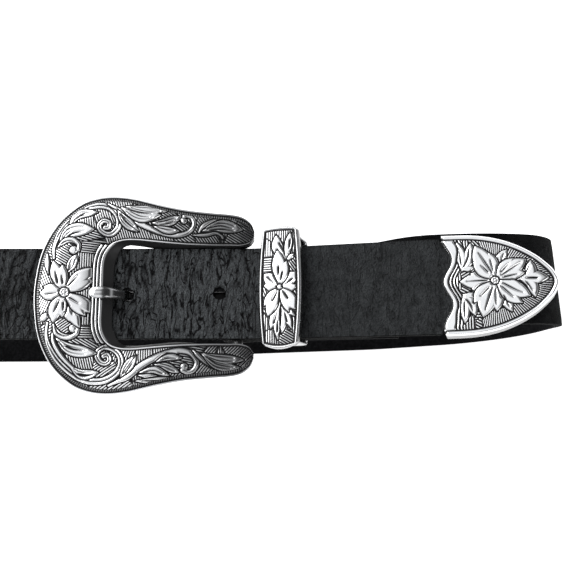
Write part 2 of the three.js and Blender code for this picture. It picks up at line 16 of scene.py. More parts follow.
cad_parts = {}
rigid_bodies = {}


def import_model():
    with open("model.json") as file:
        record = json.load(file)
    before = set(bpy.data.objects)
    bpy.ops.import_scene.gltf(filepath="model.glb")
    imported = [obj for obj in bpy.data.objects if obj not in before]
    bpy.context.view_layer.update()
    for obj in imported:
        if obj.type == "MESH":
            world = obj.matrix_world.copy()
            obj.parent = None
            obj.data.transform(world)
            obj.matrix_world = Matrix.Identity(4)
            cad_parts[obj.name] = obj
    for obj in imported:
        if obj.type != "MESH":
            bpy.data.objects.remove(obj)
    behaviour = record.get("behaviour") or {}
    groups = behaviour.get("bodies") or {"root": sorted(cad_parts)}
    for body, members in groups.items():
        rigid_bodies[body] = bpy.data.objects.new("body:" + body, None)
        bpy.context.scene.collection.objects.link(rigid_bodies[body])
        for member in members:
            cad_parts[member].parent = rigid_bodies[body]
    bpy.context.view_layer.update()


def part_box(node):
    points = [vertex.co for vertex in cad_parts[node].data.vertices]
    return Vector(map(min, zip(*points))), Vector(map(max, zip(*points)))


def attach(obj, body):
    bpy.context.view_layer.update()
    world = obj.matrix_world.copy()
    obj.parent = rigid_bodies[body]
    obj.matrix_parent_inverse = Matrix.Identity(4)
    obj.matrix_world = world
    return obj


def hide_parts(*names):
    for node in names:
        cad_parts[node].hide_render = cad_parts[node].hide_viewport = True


log = logging.getLogger("belt")

MM = 0.001
Array = np.ndarray
Pair = tuple[float, float]
Triple = tuple[float, float, float]
Object = bpy.types.Object
Material = bpy.types.Material
NodeTree = bpy.types.NodeTree
Socket = bpy.types.NodeSocket
# What a node's input gets: a link, a number, a colour or a vector
Value = Socket | float | tuple[float, ...]


class StrokeShape(Enum):
    """How a stroke of the ornament swells along its way."""

    LEAF = "leaf"
    PETAL = "petal"
    STEM = "stem"
    BALL = "ball"
    LINE = "line"


@dataclass(frozen=True)
class Stroke:
    """One stroke of the ornament: the points that its middle passes, and its greatest width.

    A grooved stroke is parted into two bands by a line along its middle.
    """

    points: tuple[Pair, ...]
    width: float
    shape: StrokeShape = StrokeShape.LEAF
    grooved: bool = False


def leaf(width: float, *points: Pair) -> Stroke:
    """A pointed leaf from its root to its tip."""
    return Stroke(points, width, StrokeShape.LEAF)


def petal(width: float, *points: Pair) -> Stroke:
    """A petal, widest nearer its tip."""
    return Stroke(points, width, StrokeShape.PETAL)


def stem(width: float, *points: Pair) -> Stroke:
    """A round scroll stem that thins towards its eye."""
    return Stroke(points, width, StrokeShape.STEM)


def ball(width: float, x: float, y: float) -> Stroke:
    """A round bead."""
    return Stroke(((x, y), (x + 0.01, y)), width, StrokeShape.BALL)


def line(width: float, *points: Pair) -> Stroke:
    """A graver's line, widest near its start."""
    return Stroke(points, width, StrokeShape.LINE)


def grooved(stroke: Stroke) -> Stroke:
    """The same stroke with a groove along its middle."""
    return replace(stroke, grooved=True)


def smooth(low: float, high: float, value: Array) -> Array:
    """Smoothstep: 0 below low, 1 above high, 3t^2 - 2t^3 between.

    Args:
        low: Value where the step starts.
        high: Value where the step ends.
        value: Values to map.

    Returns:
        The step at each value.
    """
    t = np.clip((value - low) / (high - low), 0.0, 1.0)
    return t * t * (3.0 - 2.0 * t)


def through(points: Array, shares: Array) -> Array:
    """Catmull-Rom curve through rows of points, at shares 0 to 1 of its length in rows.

    Args:
        points: Rows to pass through, one column per coordinate.
        shares: Where to read the curve.

    Returns:
        One row for each share.
    """
    padded = np.vstack([2 * points[0] - points[1], points, 2 * points[-1] - points[-2]])
    at = shares * (len(points) - 1)
    index = np.clip(np.floor(at).astype(int), 0, len(points) - 2)
    t = (at - index)[:, None]
    a, b, c, d = (padded[index + k] for k in range(4))
    return 0.5 * (2 * b + (c - a) * t + (2 * a - 5 * b + 4 * c - d) * t**2
                  + (3 * b - a - 3 * c + d) * t**3)


def evenly(points: Array, count: int) -> Array:
    """Points at even distances along a polyline.

    Args:
        points: The polyline's rows.
        count: How many points to return.

    Returns:
        Rows at even distances.
    """
    steps = np.linalg.norm(np.diff(points, axis=0), axis=1)
    reach = np.concatenate([[0.0], np.cumsum(steps)])
    at = np.linspace(0.0, reach[-1], count)
    return np.stack([np.interp(at, reach, column) for column in points.T], axis=1)


@dataclass
class ValueNoise:
    """Seeded value noise: random lattice values joined by smoothstep, between 0 and 1."""

    seed: int
    size: int = 128
    table: Array = field(init=False)

    def __post_init__(self) -> None:
        """Fills the lattice."""
        self.table = np.random.default_rng(self.seed).random((self.size, self.size))

    def at(self, u: Array, v: Array) -> Array:
        """Noise at lattice coordinates.

        Args:
            u: First coordinate.
            v: Second coordinate.

        Returns:
            Values between 0 and 1.
        """
        ui, vi = np.floor(u).astype(int), np.floor(v).astype(int)
        fu, fv = smooth(0.0, 1.0, u - ui), smooth(0.0, 1.0, v - vi)
        low, high = (self.table[(ui + i) % self.size, vi % self.size] * (1 - fv)
                     + self.table[(ui + i) % self.size, (vi + 1) % self.size] * fv for i in (0, 1))
        return low * (1 - fu) + high * fu

    def crease(self, u: Array, v: Array) -> Array:
        """Ridged noise: 1 along narrow lines where the noise crosses a half, 0 away from them."""
        return (1.0 - np.abs(2.0 * self.at(u, v) - 1.0)) ** 9


class Relief:
    """Carved ornament over a set of surface points, as signed distances in millimetres.

    form is how far a point lies inside a raised form: negative outside it and in its cut lines.
    ground is how far it lies from every form's groove. cycle counts the ground's hatch lines.
    All three run on evenly between points, so the finish finds each edge finer than the mesh.
    Later forms lie over earlier ones: the field becomes max(min(old, -(new + groove)), new).
    """

    GROOVE = 0.5
    MARGIN = 1.6
    FAR = 9.0
    PATCH_CUT = 0.14
    VEIN_ASIDE = 0.24
    VEIN_WIDTH = 0.3

    def __init__(self, x: Array, y: Array) -> None:
        """Starts with bare ground.

        Args:
            x: First coordinate of each point.
            y: Second coordinate of each point.
        """
        self.x, self.y = x, y
        self.form = np.full_like(x, -self.FAR)
        self.ground = np.full_like(x, self.FAR)
        self.cycle = np.zeros_like(x)
        self.soot = np.zeros_like(x)

    def inside(self, stroke: Stroke) -> tuple[Array, Array]:
        """Depth of nearby points inside a stroke: its half width there less the distance from it.

        Args:
            stroke: The stroke to measure.

        Returns:
            Indices of the points near it, and their signed depth.
        """
        points = np.asarray(stroke.points, float)
        middle = through(points, np.linspace(0, 1, 10 * len(points))) if len(points) > 2 else points
        margin = stroke.width / 2 + self.MARGIN
        low, high = middle.min(0) - margin, middle.max(0) + margin
        beside = (self.x > low[0]) & (self.x < high[0])
        near = np.nonzero(beside & (self.y > low[1]) & (self.y < high[1]))[0]
        at = np.stack([self.x[near], self.y[near]], axis=1)[:, None, :]
        start, way = middle[:-1][None], np.diff(middle, axis=0)[None]
        length = np.maximum(np.linalg.norm(way, axis=2), 1e-9)
        share = np.clip(((at - start) * way).sum(2) / length**2, 0.0, 1.0)
        gap = np.linalg.norm(at - start - share[..., None] * way, axis=2)
        nearest = gap.argmin(1)
        row = np.arange(len(near))
        reach = np.concatenate([[0.0], np.cumsum(length[0])])
        along = (reach[nearest] + share[row, nearest] * length[0][nearest]) / reach[-1]
        half = stroke.width / 2 * self.swell(stroke.shape, along)
        return near, half - gap[row, nearest]

    @staticmethod
    def swell(shape: StrokeShape, along: Array) -> Array:
        """Width of a stroke, as a share of its greatest, at a share of its length.

        A leaf is sin(pi a^1.2)^0.85 and a petal, pointed too, a^1.2 (1 - a) over its greatest
        value. A stem grows to full width over its first quarter and thins to 0.62. A line is
        sin(pi a^0.55)^0.6. A ball is 1.

        Args:
            shape: Kind of stroke.
            along: Share of the stroke's length.

        Returns:
            The width's share.
        """
        if shape is StrokeShape.LEAF:
            return np.maximum(np.sin(np.pi * along**1.2), 0.0) ** 0.85
        if shape is StrokeShape.PETAL:
            return along**1.2 * (1.0 - along) / ((1.2 / 2.2) ** 1.2 * (1.0 / 2.2))
        if shape is StrokeShape.STEM:
            return (0.3 + 0.7 * smooth(0.0, 0.25, along)) * (1.0 - 0.38 * smooth(0.4, 1.0, along))
        if shape is StrokeShape.LINE:
            return np.maximum(np.sin(np.pi * along**0.55), 0.0) ** 0.6
        return np.ones_like(along)

    def hatch(self, patches: Array, pitch: float) -> None:
        """Ground of parallel cut lines, whose direction is that of the nearest patch.

        The line count is (x cos a + y sin a) / pitch. A thin cut parts neighbouring patches: the
        ground falls to (second nearest distance - nearest distance) / 2 - PATCH_CUT there.

        Args:
            patches: Rows of x, y and the angle across the lines in degrees.
            pitch: Distance between lines.
        """
        gap = np.hypot(self.x[:, None] - patches[None, :, 0], self.y[:, None] - patches[None, :, 1])
        angle = np.radians(patches[gap.argmin(1), 2])
        self.cycle = (self.x * np.cos(angle) + self.y * np.sin(angle)) / pitch
        nearest = np.partition(gap, 1, axis=1)
        self.ground = np.minimum(self.ground, (nearest[:, 1] - nearest[:, 0]) / 2 - self.PATCH_CUT)

    def raise_field(self, depth: Array) -> None:
        """Lays a raised form, given as its signed depth, over all that stands there."""
        self.form = np.maximum(np.minimum(self.form, -(depth + self.GROOVE)), depth)
        self.ground = np.minimum(self.ground, -(depth + self.GROOVE))

    def raise_group(self, strokes: list[Stroke]) -> None:
        """Lays strokes that merge into one form over all that stands there."""
        depth = np.full_like(self.x, -self.FAR)
        for stroke in strokes:
            near, inner = self.inside(stroke)
            depth[near] = np.maximum(depth[near], inner)
        self.raise_field(depth)

    def flute(self, strokes: list[Stroke], least: float = 2.5) -> None:
        """Cuts two fine lines along every leaf that is wide enough.

        Each line is the leaf's middle line, moved aside by VEIN_ASIDE of the leaf's width there.

        Args:
            strokes: The strokes of one form.
            least: Width from which a leaf has them.
        """
        for stroke in strokes:
            if stroke.shape is not StrokeShape.LEAF or stroke.width < least:
                continue
            share = np.linspace(0.16, 0.8, 9)
            middle = through(np.array(stroke.points, float), share)
            way = np.gradient(middle, axis=0)
            way /= np.linalg.norm(way, axis=1)[:, None]
            reach = self.VEIN_ASIDE * stroke.width * self.swell(stroke.shape, share)
            aside = np.stack([-way[:, 1], way[:, 0]], axis=1) * reach[:, None]
            self.cut([line(self.VEIN_WIDTH, *map(tuple, middle + side * aside)) for side in (-1, 1)])

    def cut(self, strokes: list[Stroke]) -> None:
        """Cuts graver's lines into the forms."""
        for stroke in strokes:
            near, inner = self.inside(stroke)
            self.form[near] = np.minimum(self.form[near], -inner)

    def keep_off(self, distance: Array) -> None:
        """Ends forms and ground where a distance falls below zero."""
        self.form = np.minimum(self.form, distance)
        self.ground = np.minimum(self.ground, distance)

    def mill(self, depth: Array, cycle: Array, soot: float) -> None:
        """Lays a band of fine ticks.

        Args:
            depth: Signed depth inside the band.
            cycle: Count of ticks at each point.
            soot: How black the band's lines are.
        """
        band = depth > -0.1
        self.ground = np.maximum(self.ground, depth)
        self.cycle = np.where(band, cycle, self.cycle)
        self.soot = np.where(band, soot, self.soot)

    def band(self, distance: Array, start: float | Array, stop: float | Array,
             limit: Array | None = None) -> None:
        """Lays a raised rim between two distances from an edge.

        Args:
            distance: Distance of each point from the edge.
            start: Where the rim starts.
            stop: Where it stops.
            limit: Signed depth inside the stretch that has the rim, or none.
        """
        depth = np.minimum(distance - start, stop - distance)
        self.raise_field(depth if limit is None else np.minimum(depth, limit))

    def height(self) -> Array:
        """Height over the ground, 0 to 1: a smooth step at the edge, 0.68, and 0.32 sin(pi d / 2).

        d is the depth inside the form, up to 1 mm.
        """
        edge = np.clip(self.form, 0.0, 1.0)
        form = 0.68 * smooth(-0.28, 0.34, self.form) + 0.32 * np.sin(np.pi / 2 * edge)
        return np.maximum(form, 0.14 * smooth(-0.1, 0.3, self.ground))

    def marks(self, shape: tuple[int, int], tail: list[tuple[int, float]], axis: int = 1) -> dict[str, Array]:
        """The finish's marks for a grid of points that starts with the ornamented ones.

        Args:
            shape: Rows and columns of ornamented points.
            tail: Number of plain rows or columns that follow, and their soot, for each stretch.
            axis: 0 if rows follow, 1 if columns do.

        Returns:
            Named marks of each point.
        """
        face = {name: getattr(self, name).reshape(shape) for name in MARKS}
        for count, soot in tail:
            plain = plain_marks((count, shape[1]) if axis == 0 else (shape[0], count), soot)
            face = {name: np.concatenate([face[name], plain[name]], axis=axis) for name in MARKS}
        return face


# What the silver finish reads at each point; the last mark blackens the metal, as patina in its cuts and as
# painted shade, and is lowered for painted highlights
MARKS = ("form", "ground", "cycle", "soot")


def plain_marks(shape: tuple[int, ...], soot: float | Array) -> dict[str, Array]:
    """Marks of bare metal without ornament.

    Args:
        shape: Shape of the points.
        soot: How black it is, from 0 to 1.

    Returns:
        Named marks of each point.
    """
    return {"form": np.ones(shape), "ground": np.full(shape, -1.0), "cycle": np.zeros(shape),
            "soot": np.broadcast_to(soot, shape)}


class Belt:
    """Where the belt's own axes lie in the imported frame, and the axes of the rising strap."""

    RISE_STARTS_X = 37.0
    RISE_RADIUS = 45.0
    RISE = math.radians(13.0)
    TOP_LEVEL = 60.0
    LAYER = 3.4

    def __init__(self) -> None:
        """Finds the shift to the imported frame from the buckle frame's box."""
        low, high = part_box("buckle_frame")
        self.shift = np.array([low[0] + 32.5 * MM, (low[1] + high[1]) / 2 + 0.6 * MM, 0.0])
        self.rise_x = self.RISE_STARTS_X + self.RISE_RADIUS * math.sin(self.RISE)
        self.rise_z = self.TOP_LEVEL + self.RISE_RADIUS * (1 - math.cos(self.RISE))

    def place(self, points: Array) -> Array:
        """Millimetres in the belt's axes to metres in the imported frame."""
        return points * MM + self.shift

    def on_rise(self, u: Array, v: Array, n: Array) -> Array:
        """Points given along, across and out of the rising strap, in the belt's axes.

        Args:
            u: Distance up the rise.
            v: Distance across.
            n: Height above the strap's middle plane.

        Returns:
            Rows of x, y, z in millimetres.
        """
        c, s = math.cos(self.RISE), math.sin(self.RISE)
        return np.stack([self.rise_x + u * c - n * s, v + 0 * u, self.rise_z + u * s + n * c], axis=-1)


def ring_faces(rows: int, ring: int) -> Array:
    """Quads between neighbouring closed rings, facing out for rings that turn left round the way.

    Args:
        rows: Number of rings.
        ring: Points on each.

    Returns:
        Rows of four vertex indices.
    """
    i, k = np.meshgrid(np.arange(rows - 1), np.arange(ring), indexing="ij")
    a = i * ring + k
    b = i * ring + (k + 1) % ring
    return np.stack([a, b, b + ring, a + ring], axis=-1).reshape(-1, 4)


def make_piece(name: str, rings: Array, finish: Material,
               marks: dict[str, Array]) -> Object:
    """A closed piece skinned over rings, with a fan over each end.

    Args:
        name: Name of the piece.
        rings: Ring points in metres, of shape rows, ring, 3.
        finish: Its material.
        marks: Named numbers that the finish reads at each ring point.

    Returns:
        The new object.
    """
    rows, ring, _ = rings.shape
    ends = np.stack([rings[0].mean(0), rings[-1].mean(0)])
    points = np.vstack([rings.reshape(-1, 3), ends])
    quads = ring_faces(rows, ring)
    k = np.arange(ring)
    first, last = rows * ring, rows * ring + 1
    start = np.stack([(k + 1) % ring, k, np.full(ring, first)], axis=1)
    before = (rows - 1) * ring
    stop = np.stack([before + k, before + (k + 1) % ring, np.full(ring, last)], axis=1)
    mesh = bpy.data.meshes.new(name)
    mesh.from_pydata(points, [], quads.tolist() + start.tolist() + stop.tolist())
    mesh.polygons.foreach_set("use_smooth", np.ones(len(mesh.polygons), bool))
    for mark, values in marks.items():
        layer = mesh.attributes.new(mark, "FLOAT", "POINT")
        spread = np.concatenate([values.reshape(-1), [values[0].mean(), values[-1].mean()]])
        layer.data.foreach_set("value", spread.astype(np.float32))
    piece = bpy.data.objects.new(name, mesh)
    bpy.context.scene.collection.objects.link(piece)
    mesh.materials.append(finish)
    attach(piece, "root")
    turn_outwards(mesh)
    return piece


def turn_outwards(mesh: bpy.types.Mesh) -> None:
    """Flips a closed mesh whose signed volume, the sum of a . (b x c) / 6, is negative."""
    mesh.calc_loop_triangles()
    corners = np.empty(len(mesh.loop_triangles) * 3, int)
    mesh.loop_triangles.foreach_get("vertices", corners)
    points = np.empty(len(mesh.vertices) * 3)
    mesh.vertices.foreach_get("co", points)
    a, b, c = (points.reshape(-1, 3)[corners.reshape(-1, 3)[:, i]] for i in range(3))
    if np.einsum("ij,ij->i", a, np.cross(b, c)).sum() < 0:
        mesh.flip_normals()


def join_pieces(pieces: list[Object]) -> Object:
    """Joins pieces into the first one and returns it."""
    with bpy.context.temp_override(active_object=pieces[0], selected_editable_objects=pieces):
        bpy.ops.object.join()
    return pieces[0]


def rounded_section(width: float, thickness: float, count: int, power: float = 4.0) -> Array:
    """A rounded bar's section: |w|^p + |t|^p = 1 in half widths, walked once round.

    Args:
        width: Full width.
        thickness: Full thickness.
        count: Points on it.
        power: Squareness p.

    Returns:
        Rows of width and thickness offsets.
    """
    angle = np.linspace(0, 2 * np.pi, count, endpoint=False)
    c, s = np.cos(angle), np.sin(angle)
    reach = (np.abs(c) ** power + np.abs(s) ** power) ** (-1 / power)
    return np.stack([c * reach * width / 2, s * reach * thickness / 2], axis=1)


# Finishes


class NodeWork:
    """A node tree, with short ways to add the nodes that the finishes share."""

    def __init__(self, tree: NodeTree) -> None:
        """Takes the tree to work on."""
        self.nodes, self.links = tree.nodes, tree.links

    def wire(self, node: bpy.types.Node, inputs: dict[str | int, Value]) -> None:
        """Gives a node's inputs their links or constants.

        Args:
            node: The node.
            inputs: What each input gets: a socket to link, a number or a colour.
        """
        for key, value in inputs.items():
            socket = node.inputs[key]
            if isinstance(value, Socket):
                self.links.new(value, socket)
            elif socket.type == "RGBA":
                socket.default_value = (*value, 1.0)
            else:
                socket.default_value = value

    def add(self, kind: str, inputs: dict[str | int, Value], **settings: object) -> bpy.types.Node:
        """Adds a node.

        Args:
            kind: Its type.
            inputs: What each input gets.
            settings: Its other properties, which are set first.

        Returns:
            The node.
        """
        node = self.nodes.new(kind)
        for name, value in settings.items():
            setattr(node, name, value)
        self.wire(node, inputs)
        return node

    def on_object(self) -> Socket:
        """Object coordinates."""
        return self.add("ShaderNodeTexCoord", {}).outputs["Object"]

    def stretched(self, scale: tuple[float, ...], turn: tuple[float, ...] = (0.0, 0.0, 0.0)) -> Socket:
        """Object coordinates, stretched and turned.

        Args:
            scale: Factor along each axis.
            turn: Angle round each axis.

        Returns:
            The coordinates' socket.
        """
        inputs = {"Vector": self.on_object(), "Scale": scale, "Rotation": turn}
        return self.add("ShaderNodeMapping", inputs).outputs["Vector"]

    def noise(self, vector: Socket, scale: Value, detail: float, roughness: float = 0.5,
              distortion: float = 0.0) -> Socket:
        """Noise from 0 to 1.

        Args:
            vector: Where it is read.
            scale: Its scale.
            detail: Number of finer layers.
            roughness: Strength of each finer layer.
            distortion: How far it is warped.

        Returns:
            The noise's socket.
        """
        inputs = {"Vector": vector, "Scale": scale, "Detail": detail, "Roughness": roughness,
                  "Distortion": distortion}
        return self.add("ShaderNodeTexNoise", inputs).outputs["Fac"]

    def mixed(self, factor: Socket, low: Value, high: Value) -> Socket:
        """Two colours, plain or linked, mixed by a factor.

        Args:
            factor: Where the second colour shows.
            low: First colour.
            high: Second colour.

        Returns:
            The mixed colour's socket.
        """
        inputs = {"Factor": factor, "A": low, "B": high}
        return self.add("ShaderNodeMix", inputs, data_type="RGBA").outputs["Result"]

    def mapped(self, value: Socket, source: Pair, target: Pair) -> Socket:
        """A value carried from one range to another and held there.

        Args:
            value: The value.
            source: Range that it comes from.
            target: Range that it goes to.

        Returns:
            The new value's socket.
        """
        inputs = {"Value": value, "From Min": source[0], "From Max": source[1],
                  "To Min": target[0], "To Max": target[1]}
        return self.add("ShaderNodeMapRange", inputs).outputs["Result"]

    def attribute(self, name: str) -> Socket:
        """Number that a mesh holds under a name."""
        return self.add("ShaderNodeAttribute", {}, attribute_name=name).outputs["Fac"]

    def calculate(self, operation: str, first: Value, second: Value = 0.0) -> Socket:
        """A sum on one or two numbers.

        Args:
            operation: Name of the Math node's operation.
            first: First number.
            second: Second number.

        Returns:
            The result's socket.
        """
        return self.add("ShaderNodeMath", {0: first, 1: second}, operation=operation).outputs["Value"]

    def bump(self, height: Socket, strength: float, distance: float, under: Socket | None = None) -> Socket:
        """Normals bent by a height.

        Args:
            height: The height.
            strength: How much it shows, below 0 where it goes in.
            distance: Its depth in metres.
            under: Normals that it starts from, or none.

        Returns:
            The normals' socket.
        """
        inputs = {"Strength": abs(strength), "Distance": distance, "Height": height}
        if under:
            inputs["Normal"] = under
        return self.add("ShaderNodeBump", inputs, invert=strength < 0).outputs["Normal"]


def fine_wear_group() -> NodeTree:
    """Group that gives a slow blotch mask and fine scratches, for every metal finish.

    Returns:
        The node group with inputs Blotch Scale and Scratch Scale.
    """
    group = bpy.data.node_groups.new("fine_wear", "ShaderNodeTree")
    for name, value in (("Blotch Scale", 90.0), ("Scratch Scale", 700.0)):
        socket = group.interface.new_socket(name, in_out="INPUT", socket_type="NodeSocketFloat")
        socket.default_value = value
    for name in ("Blotch", "Scratch"):
        group.interface.new_socket(name, in_out="OUTPUT", socket_type="NodeSocketFloat")
    work = NodeWork(group)
    given = work.add("NodeGroupInput", {}).outputs
    blotch = work.noise(work.on_object(), given["Blotch Scale"], 4.0)
    drawn = work.stretched((1.0, 0.08, 0.3), (0.0, 0.0, 0.6))
    scratch = work.noise(drawn, given["Scratch Scale"], 3.0)
    work.add("NodeGroupOutput", {"Blotch": blotch, "Scratch": scratch})
    return group


@dataclass(frozen=True)
class Finish:
    """A finish, built as a node material on its Principled shader."""

    NAME = "finish"

    def inputs(self, work: NodeWork) -> dict[str, Value]:
        """What the shader's inputs get."""
        raise NotImplementedError

    def material(self) -> Material:
        """Builds the material.

        Returns:
            The material.
        """
        material = bpy.data.materials.new(self.NAME)
        material.use_nodes = True
        work = NodeWork(material.node_tree)
        work.wire(work.nodes["Principled BSDF"], self.inputs(work))
        return material


@dataclass(frozen=True)
class AntiqueSilver(Finish):
    """Polished silver-tone casting with black patina left in its cuts."""

    NAME = "antique_silver"

    wear: NodeTree
    silver: Triple = (0.93, 0.93, 0.94)
    tarnish: Triple = (0.76, 0.76, 0.77)
    patina: Triple = (0.003, 0.003, 0.0034)
    patina_shine: float = 0.12
    polish: float = 0.12
    scratch_dulls: float = 0.12
    matt: float = 0.3
    edge: float = 0.07
    line_bright: Pair = (-0.1, 0.5)
    line_height: float = 0.00006
    ripple: Pair = (0.12, 0.0004)

    def brightness(self, work: NodeWork) -> tuple[Socket, Socket]:
        """Where metal is bare: on forms, and on hatch lines of the ground, where no patina or painted shade
        lies.

        The lines are sin(2 pi cycle), cut to line_bright.

        Args:
            work: The material's nodes.

        Returns:
            Sockets of bare metal and of the lines alone, each from 0 to 1.
        """
        read = {name: work.attribute(name) for name in MARKS}
        wave = work.calculate("SINE", work.calculate("MULTIPLY", read["cycle"], 2 * math.pi))
        crest = work.mapped(wave, self.line_bright, (0.0, 1.0))
        spread = (-self.edge, self.edge)
        lines = work.calculate("MULTIPLY", crest, work.mapped(read["ground"], spread, (0.0, 1.0)))
        bare = work.calculate("MAXIMUM", work.mapped(read["form"], spread, (0.0, 1.0)), lines)
        clean = work.mapped(read["soot"], (0.0, 1.0), (1.0, 0.0))
        return work.calculate("MULTIPLY", bare, clean), lines

    def inputs(self, work: NodeWork) -> dict[str, Value]:
        """Silver where bare, patina elsewhere, with fine scratches and ripples.

        Args:
            work: The material's nodes.

        Returns:
            What each of the shader's inputs gets.
        """
        wear = work.add("ShaderNodeGroup", {}, node_tree=self.wear).outputs
        bare, lines = self.brightness(work)
        tone = work.mapped(wear["Blotch"], (0.55, 0.8), (0.0, 1.0))
        rubbed = (self.polish, self.polish + self.scratch_dulls)
        scratched = work.mapped(wear["Scratch"], (0.4, 0.75), rubbed)
        dull = work.mapped(bare, (0.0, 1.0), (self.matt, self.polish))
        ridges = work.bump(lines, 1.0, self.line_height)
        return {
            "Base Color": work.mixed(bare, self.patina, work.mixed(tone, self.silver, self.tarnish)),
            "Metallic": work.mapped(bare, (0.0, 0.2), (0.0, 1.0)),
            "Specular IOR Level": self.patina_shine,
            "Roughness": work.calculate("MAXIMUM", scratched, dull),
            "Normal": work.bump(wear["Blotch"], *self.ripple, ridges),
        }


@dataclass(frozen=True)
class PlainSteel(Finish):
    """Nickel-plated steel of the hidden rivets."""

    NAME = "plain_steel"

    wear: NodeTree
    light: Triple = (0.6, 0.6, 0.59)
    dull: Triple = (0.4, 0.4, 0.39)

    def inputs(self, work: NodeWork) -> dict[str, Value]:
        """Blotched metal with fine scratches.

        Args:
            work: The material's nodes.

        Returns:
            What each of the shader's inputs gets.
        """
        wear = work.add("ShaderNodeGroup", {}, node_tree=self.wear).outputs
        return {
            "Metallic": 1.0,
            "Base Color": work.mixed(wear["Blotch"], self.light, self.dull),
            "Roughness": work.mapped(wear["Scratch"], (0.3, 0.7), (0.25, 0.45)),
        }


@dataclass(frozen=True)
class BlackLeather(Finish):
    """Black top-grain leather: pebbled grain, creases across it with painted shade, scuffed high spots, and a
    front layer lighter as painted light.
    """

    NAME = "black_leather"

    black: Triple = (0.002, 0.0022, 0.0025)
    # Colour of worn high spots, and of the painted light on the front layer
    worn: Triple = (0.1, 0.107, 0.112)
    gloss: float = 0.4
    rub_dulls: float = 0.16
    shine: float = 0.1
    dull: float = 0.95
    grain_scale: float = 2100.0
    pore_scale: float = 1500.0
    scuff_scale: float = 260.0
    crease_scale: Triple = (430.0, 105.0, 430.0)
    plain: float = 0.55

    def creases(self, work: NodeWork) -> Socket:
        """Thin lines that run across the strap: where stretched noise crosses a half. They bend the normals
        and darken the colour as painted shade.

        Args:
            work: The material's nodes.

        Returns:
            Socket that is 1 in a crease, times how creased the leather is there.
        """
        noise = work.noise(work.stretched(self.crease_scale), 1.0, 1.5, 0.5, 0.6)
        off = work.calculate("ABSOLUTE", work.calculate("SUBTRACT", noise, 0.5))
        thin = work.mapped(off, (0.006, 0.03), (1.0, 0.0))
        return work.calculate("MULTIPLY", thin, work.attribute("creased"))

    def inputs(self, work: NodeWork) -> dict[str, Value]:
        """Worn high spots over black, lighter on the front layer as painted light, duller where unworn, on
        grain, scuffs and creases, darkened in creases as painted shade.

        Args:
            work: The material's nodes.

        Returns:
            What each of the shader's inputs gets.
        """
        coords = work.on_object()
        cells = {"Vector": coords, "Scale": self.grain_scale}
        grain = work.add("ShaderNodeTexVoronoi", cells).outputs["Distance"]
        pores = work.noise(coords, self.pore_scale, 4.0)
        scuffs = work.noise(coords, self.scuff_scale, 6.0, 0.65)
        creases, worn = self.creases(work), work.attribute("worn")
        high = work.mapped(work.calculate("MULTIPLY", pores, scuffs), (0.16, 0.36), (self.plain, 1.0))
        high = work.calculate("MULTIPLY", high, worn)
        # Painted shade: the colour darkens in creases, both the shader's thin ones and the mesh's
        deep = work.calculate("MAXIMUM", creases, work.attribute("crease"))
        rubbed = work.mapped(scuffs, (0.35, 0.65), (self.gloss, self.gloss + self.rub_dulls))
        raw = work.mapped(worn, (0.08, 0.32), (self.dull, self.gloss))
        pebbled = work.bump(grain, 0.8, 0.0006)
        scuffed = work.bump(scuffs, 0.8, 0.0014, pebbled)
        return {
            "Base Color": work.mixed(work.calculate("SUBTRACT", high, deep), self.black, self.worn),
            "Roughness": work.calculate("MAXIMUM", rubbed, raw),
            "Specular IOR Level": self.shine,
            "Normal": work.bump(creases, -1.0, 0.0006, scuffed),
        }


@dataclass(frozen=True)
class LeatherInside(Finish):
    """Matt black flesh side of the leather, with short fibres."""

    NAME = "leather_inside"

    black: Triple = (0.003, 0.003, 0.0035)
    fibre: Triple = (0.009, 0.009, 0.01)

    def inputs(self, work: NodeWork) -> dict[str, Value]:
        """Fibres over black.

        Args:
            work: The material's nodes.

        Returns:
            What each of the shader's inputs gets.
        """
        nap = work.noise(work.on_object(), 900.0, 8.0)
        return {
            "Base Color": work.mixed(work.mapped(nap, (0.4, 0.7), (0.0, 1.0)), self.black, self.fibre),
            "Roughness": 0.85,
            "Specular IOR Level": 0.06,
            "Normal": work.bump(nap, 0.5, 0.0004),
        }


@dataclass(frozen=True)
class StudioWhite(Finish):
    """Plain pale paper of the floor, lit a little from below."""

    NAME = "studio_white"

    paper: Triple = (0.9, 0.9, 0.9)
    glow: float = 0.8

    def inputs(self, work: NodeWork) -> dict[str, Value]:
        """Even matt paper."""
        return {"Base Color": self.paper, "Roughness": 0.9, "Emission Color": (1.0, 1.0, 1.0),
                "Emission Strength": self.glow}


# Buckle

# Half of the C: outer edge, inner edge and underside, from its left to an arm's end
FRAME_COLUMNS = ("ox", "oy", "ix", "iy", "under")
FRAME_ROWS = (
    (-32.5, 0, -9.5, 0, 61.9), (-32.1, 6, -9.5, 4.5, 61.9), (-31, 12.6, -9.5, 9.5, 61.9),
    (-28.9, 18.6, -9, 12.8, 61.9), (-25.7, 24.2, -7.6, 15.6, 61.9), (-21.7, 28.5, -5.4, 17.6, 61.9),
    (-16.8, 32, -2.6, 18.5, 61.4), (-11.3, 33.8, 0, 18.7, 60.6), (-5.5, 34.2, 3, 18.6, 59.8),
    (1.2, 33.4, 7, 18.2, 59), (10.5, 31.2, 13.5, 17.6, 58.4), (19, 29.6, 20, 17.2, 58),
    (27.5, 28.7, 27.5, 17, 57.8), (34.7, 28.1, 34, 17, 57.8), (38.6, 27.1, 37.8, 17, 57.8),
    (41.4, 24.9, 40.8, 17.9, 57.8), (42.6, 22.2, 42.4, 19.8, 57.8),
)

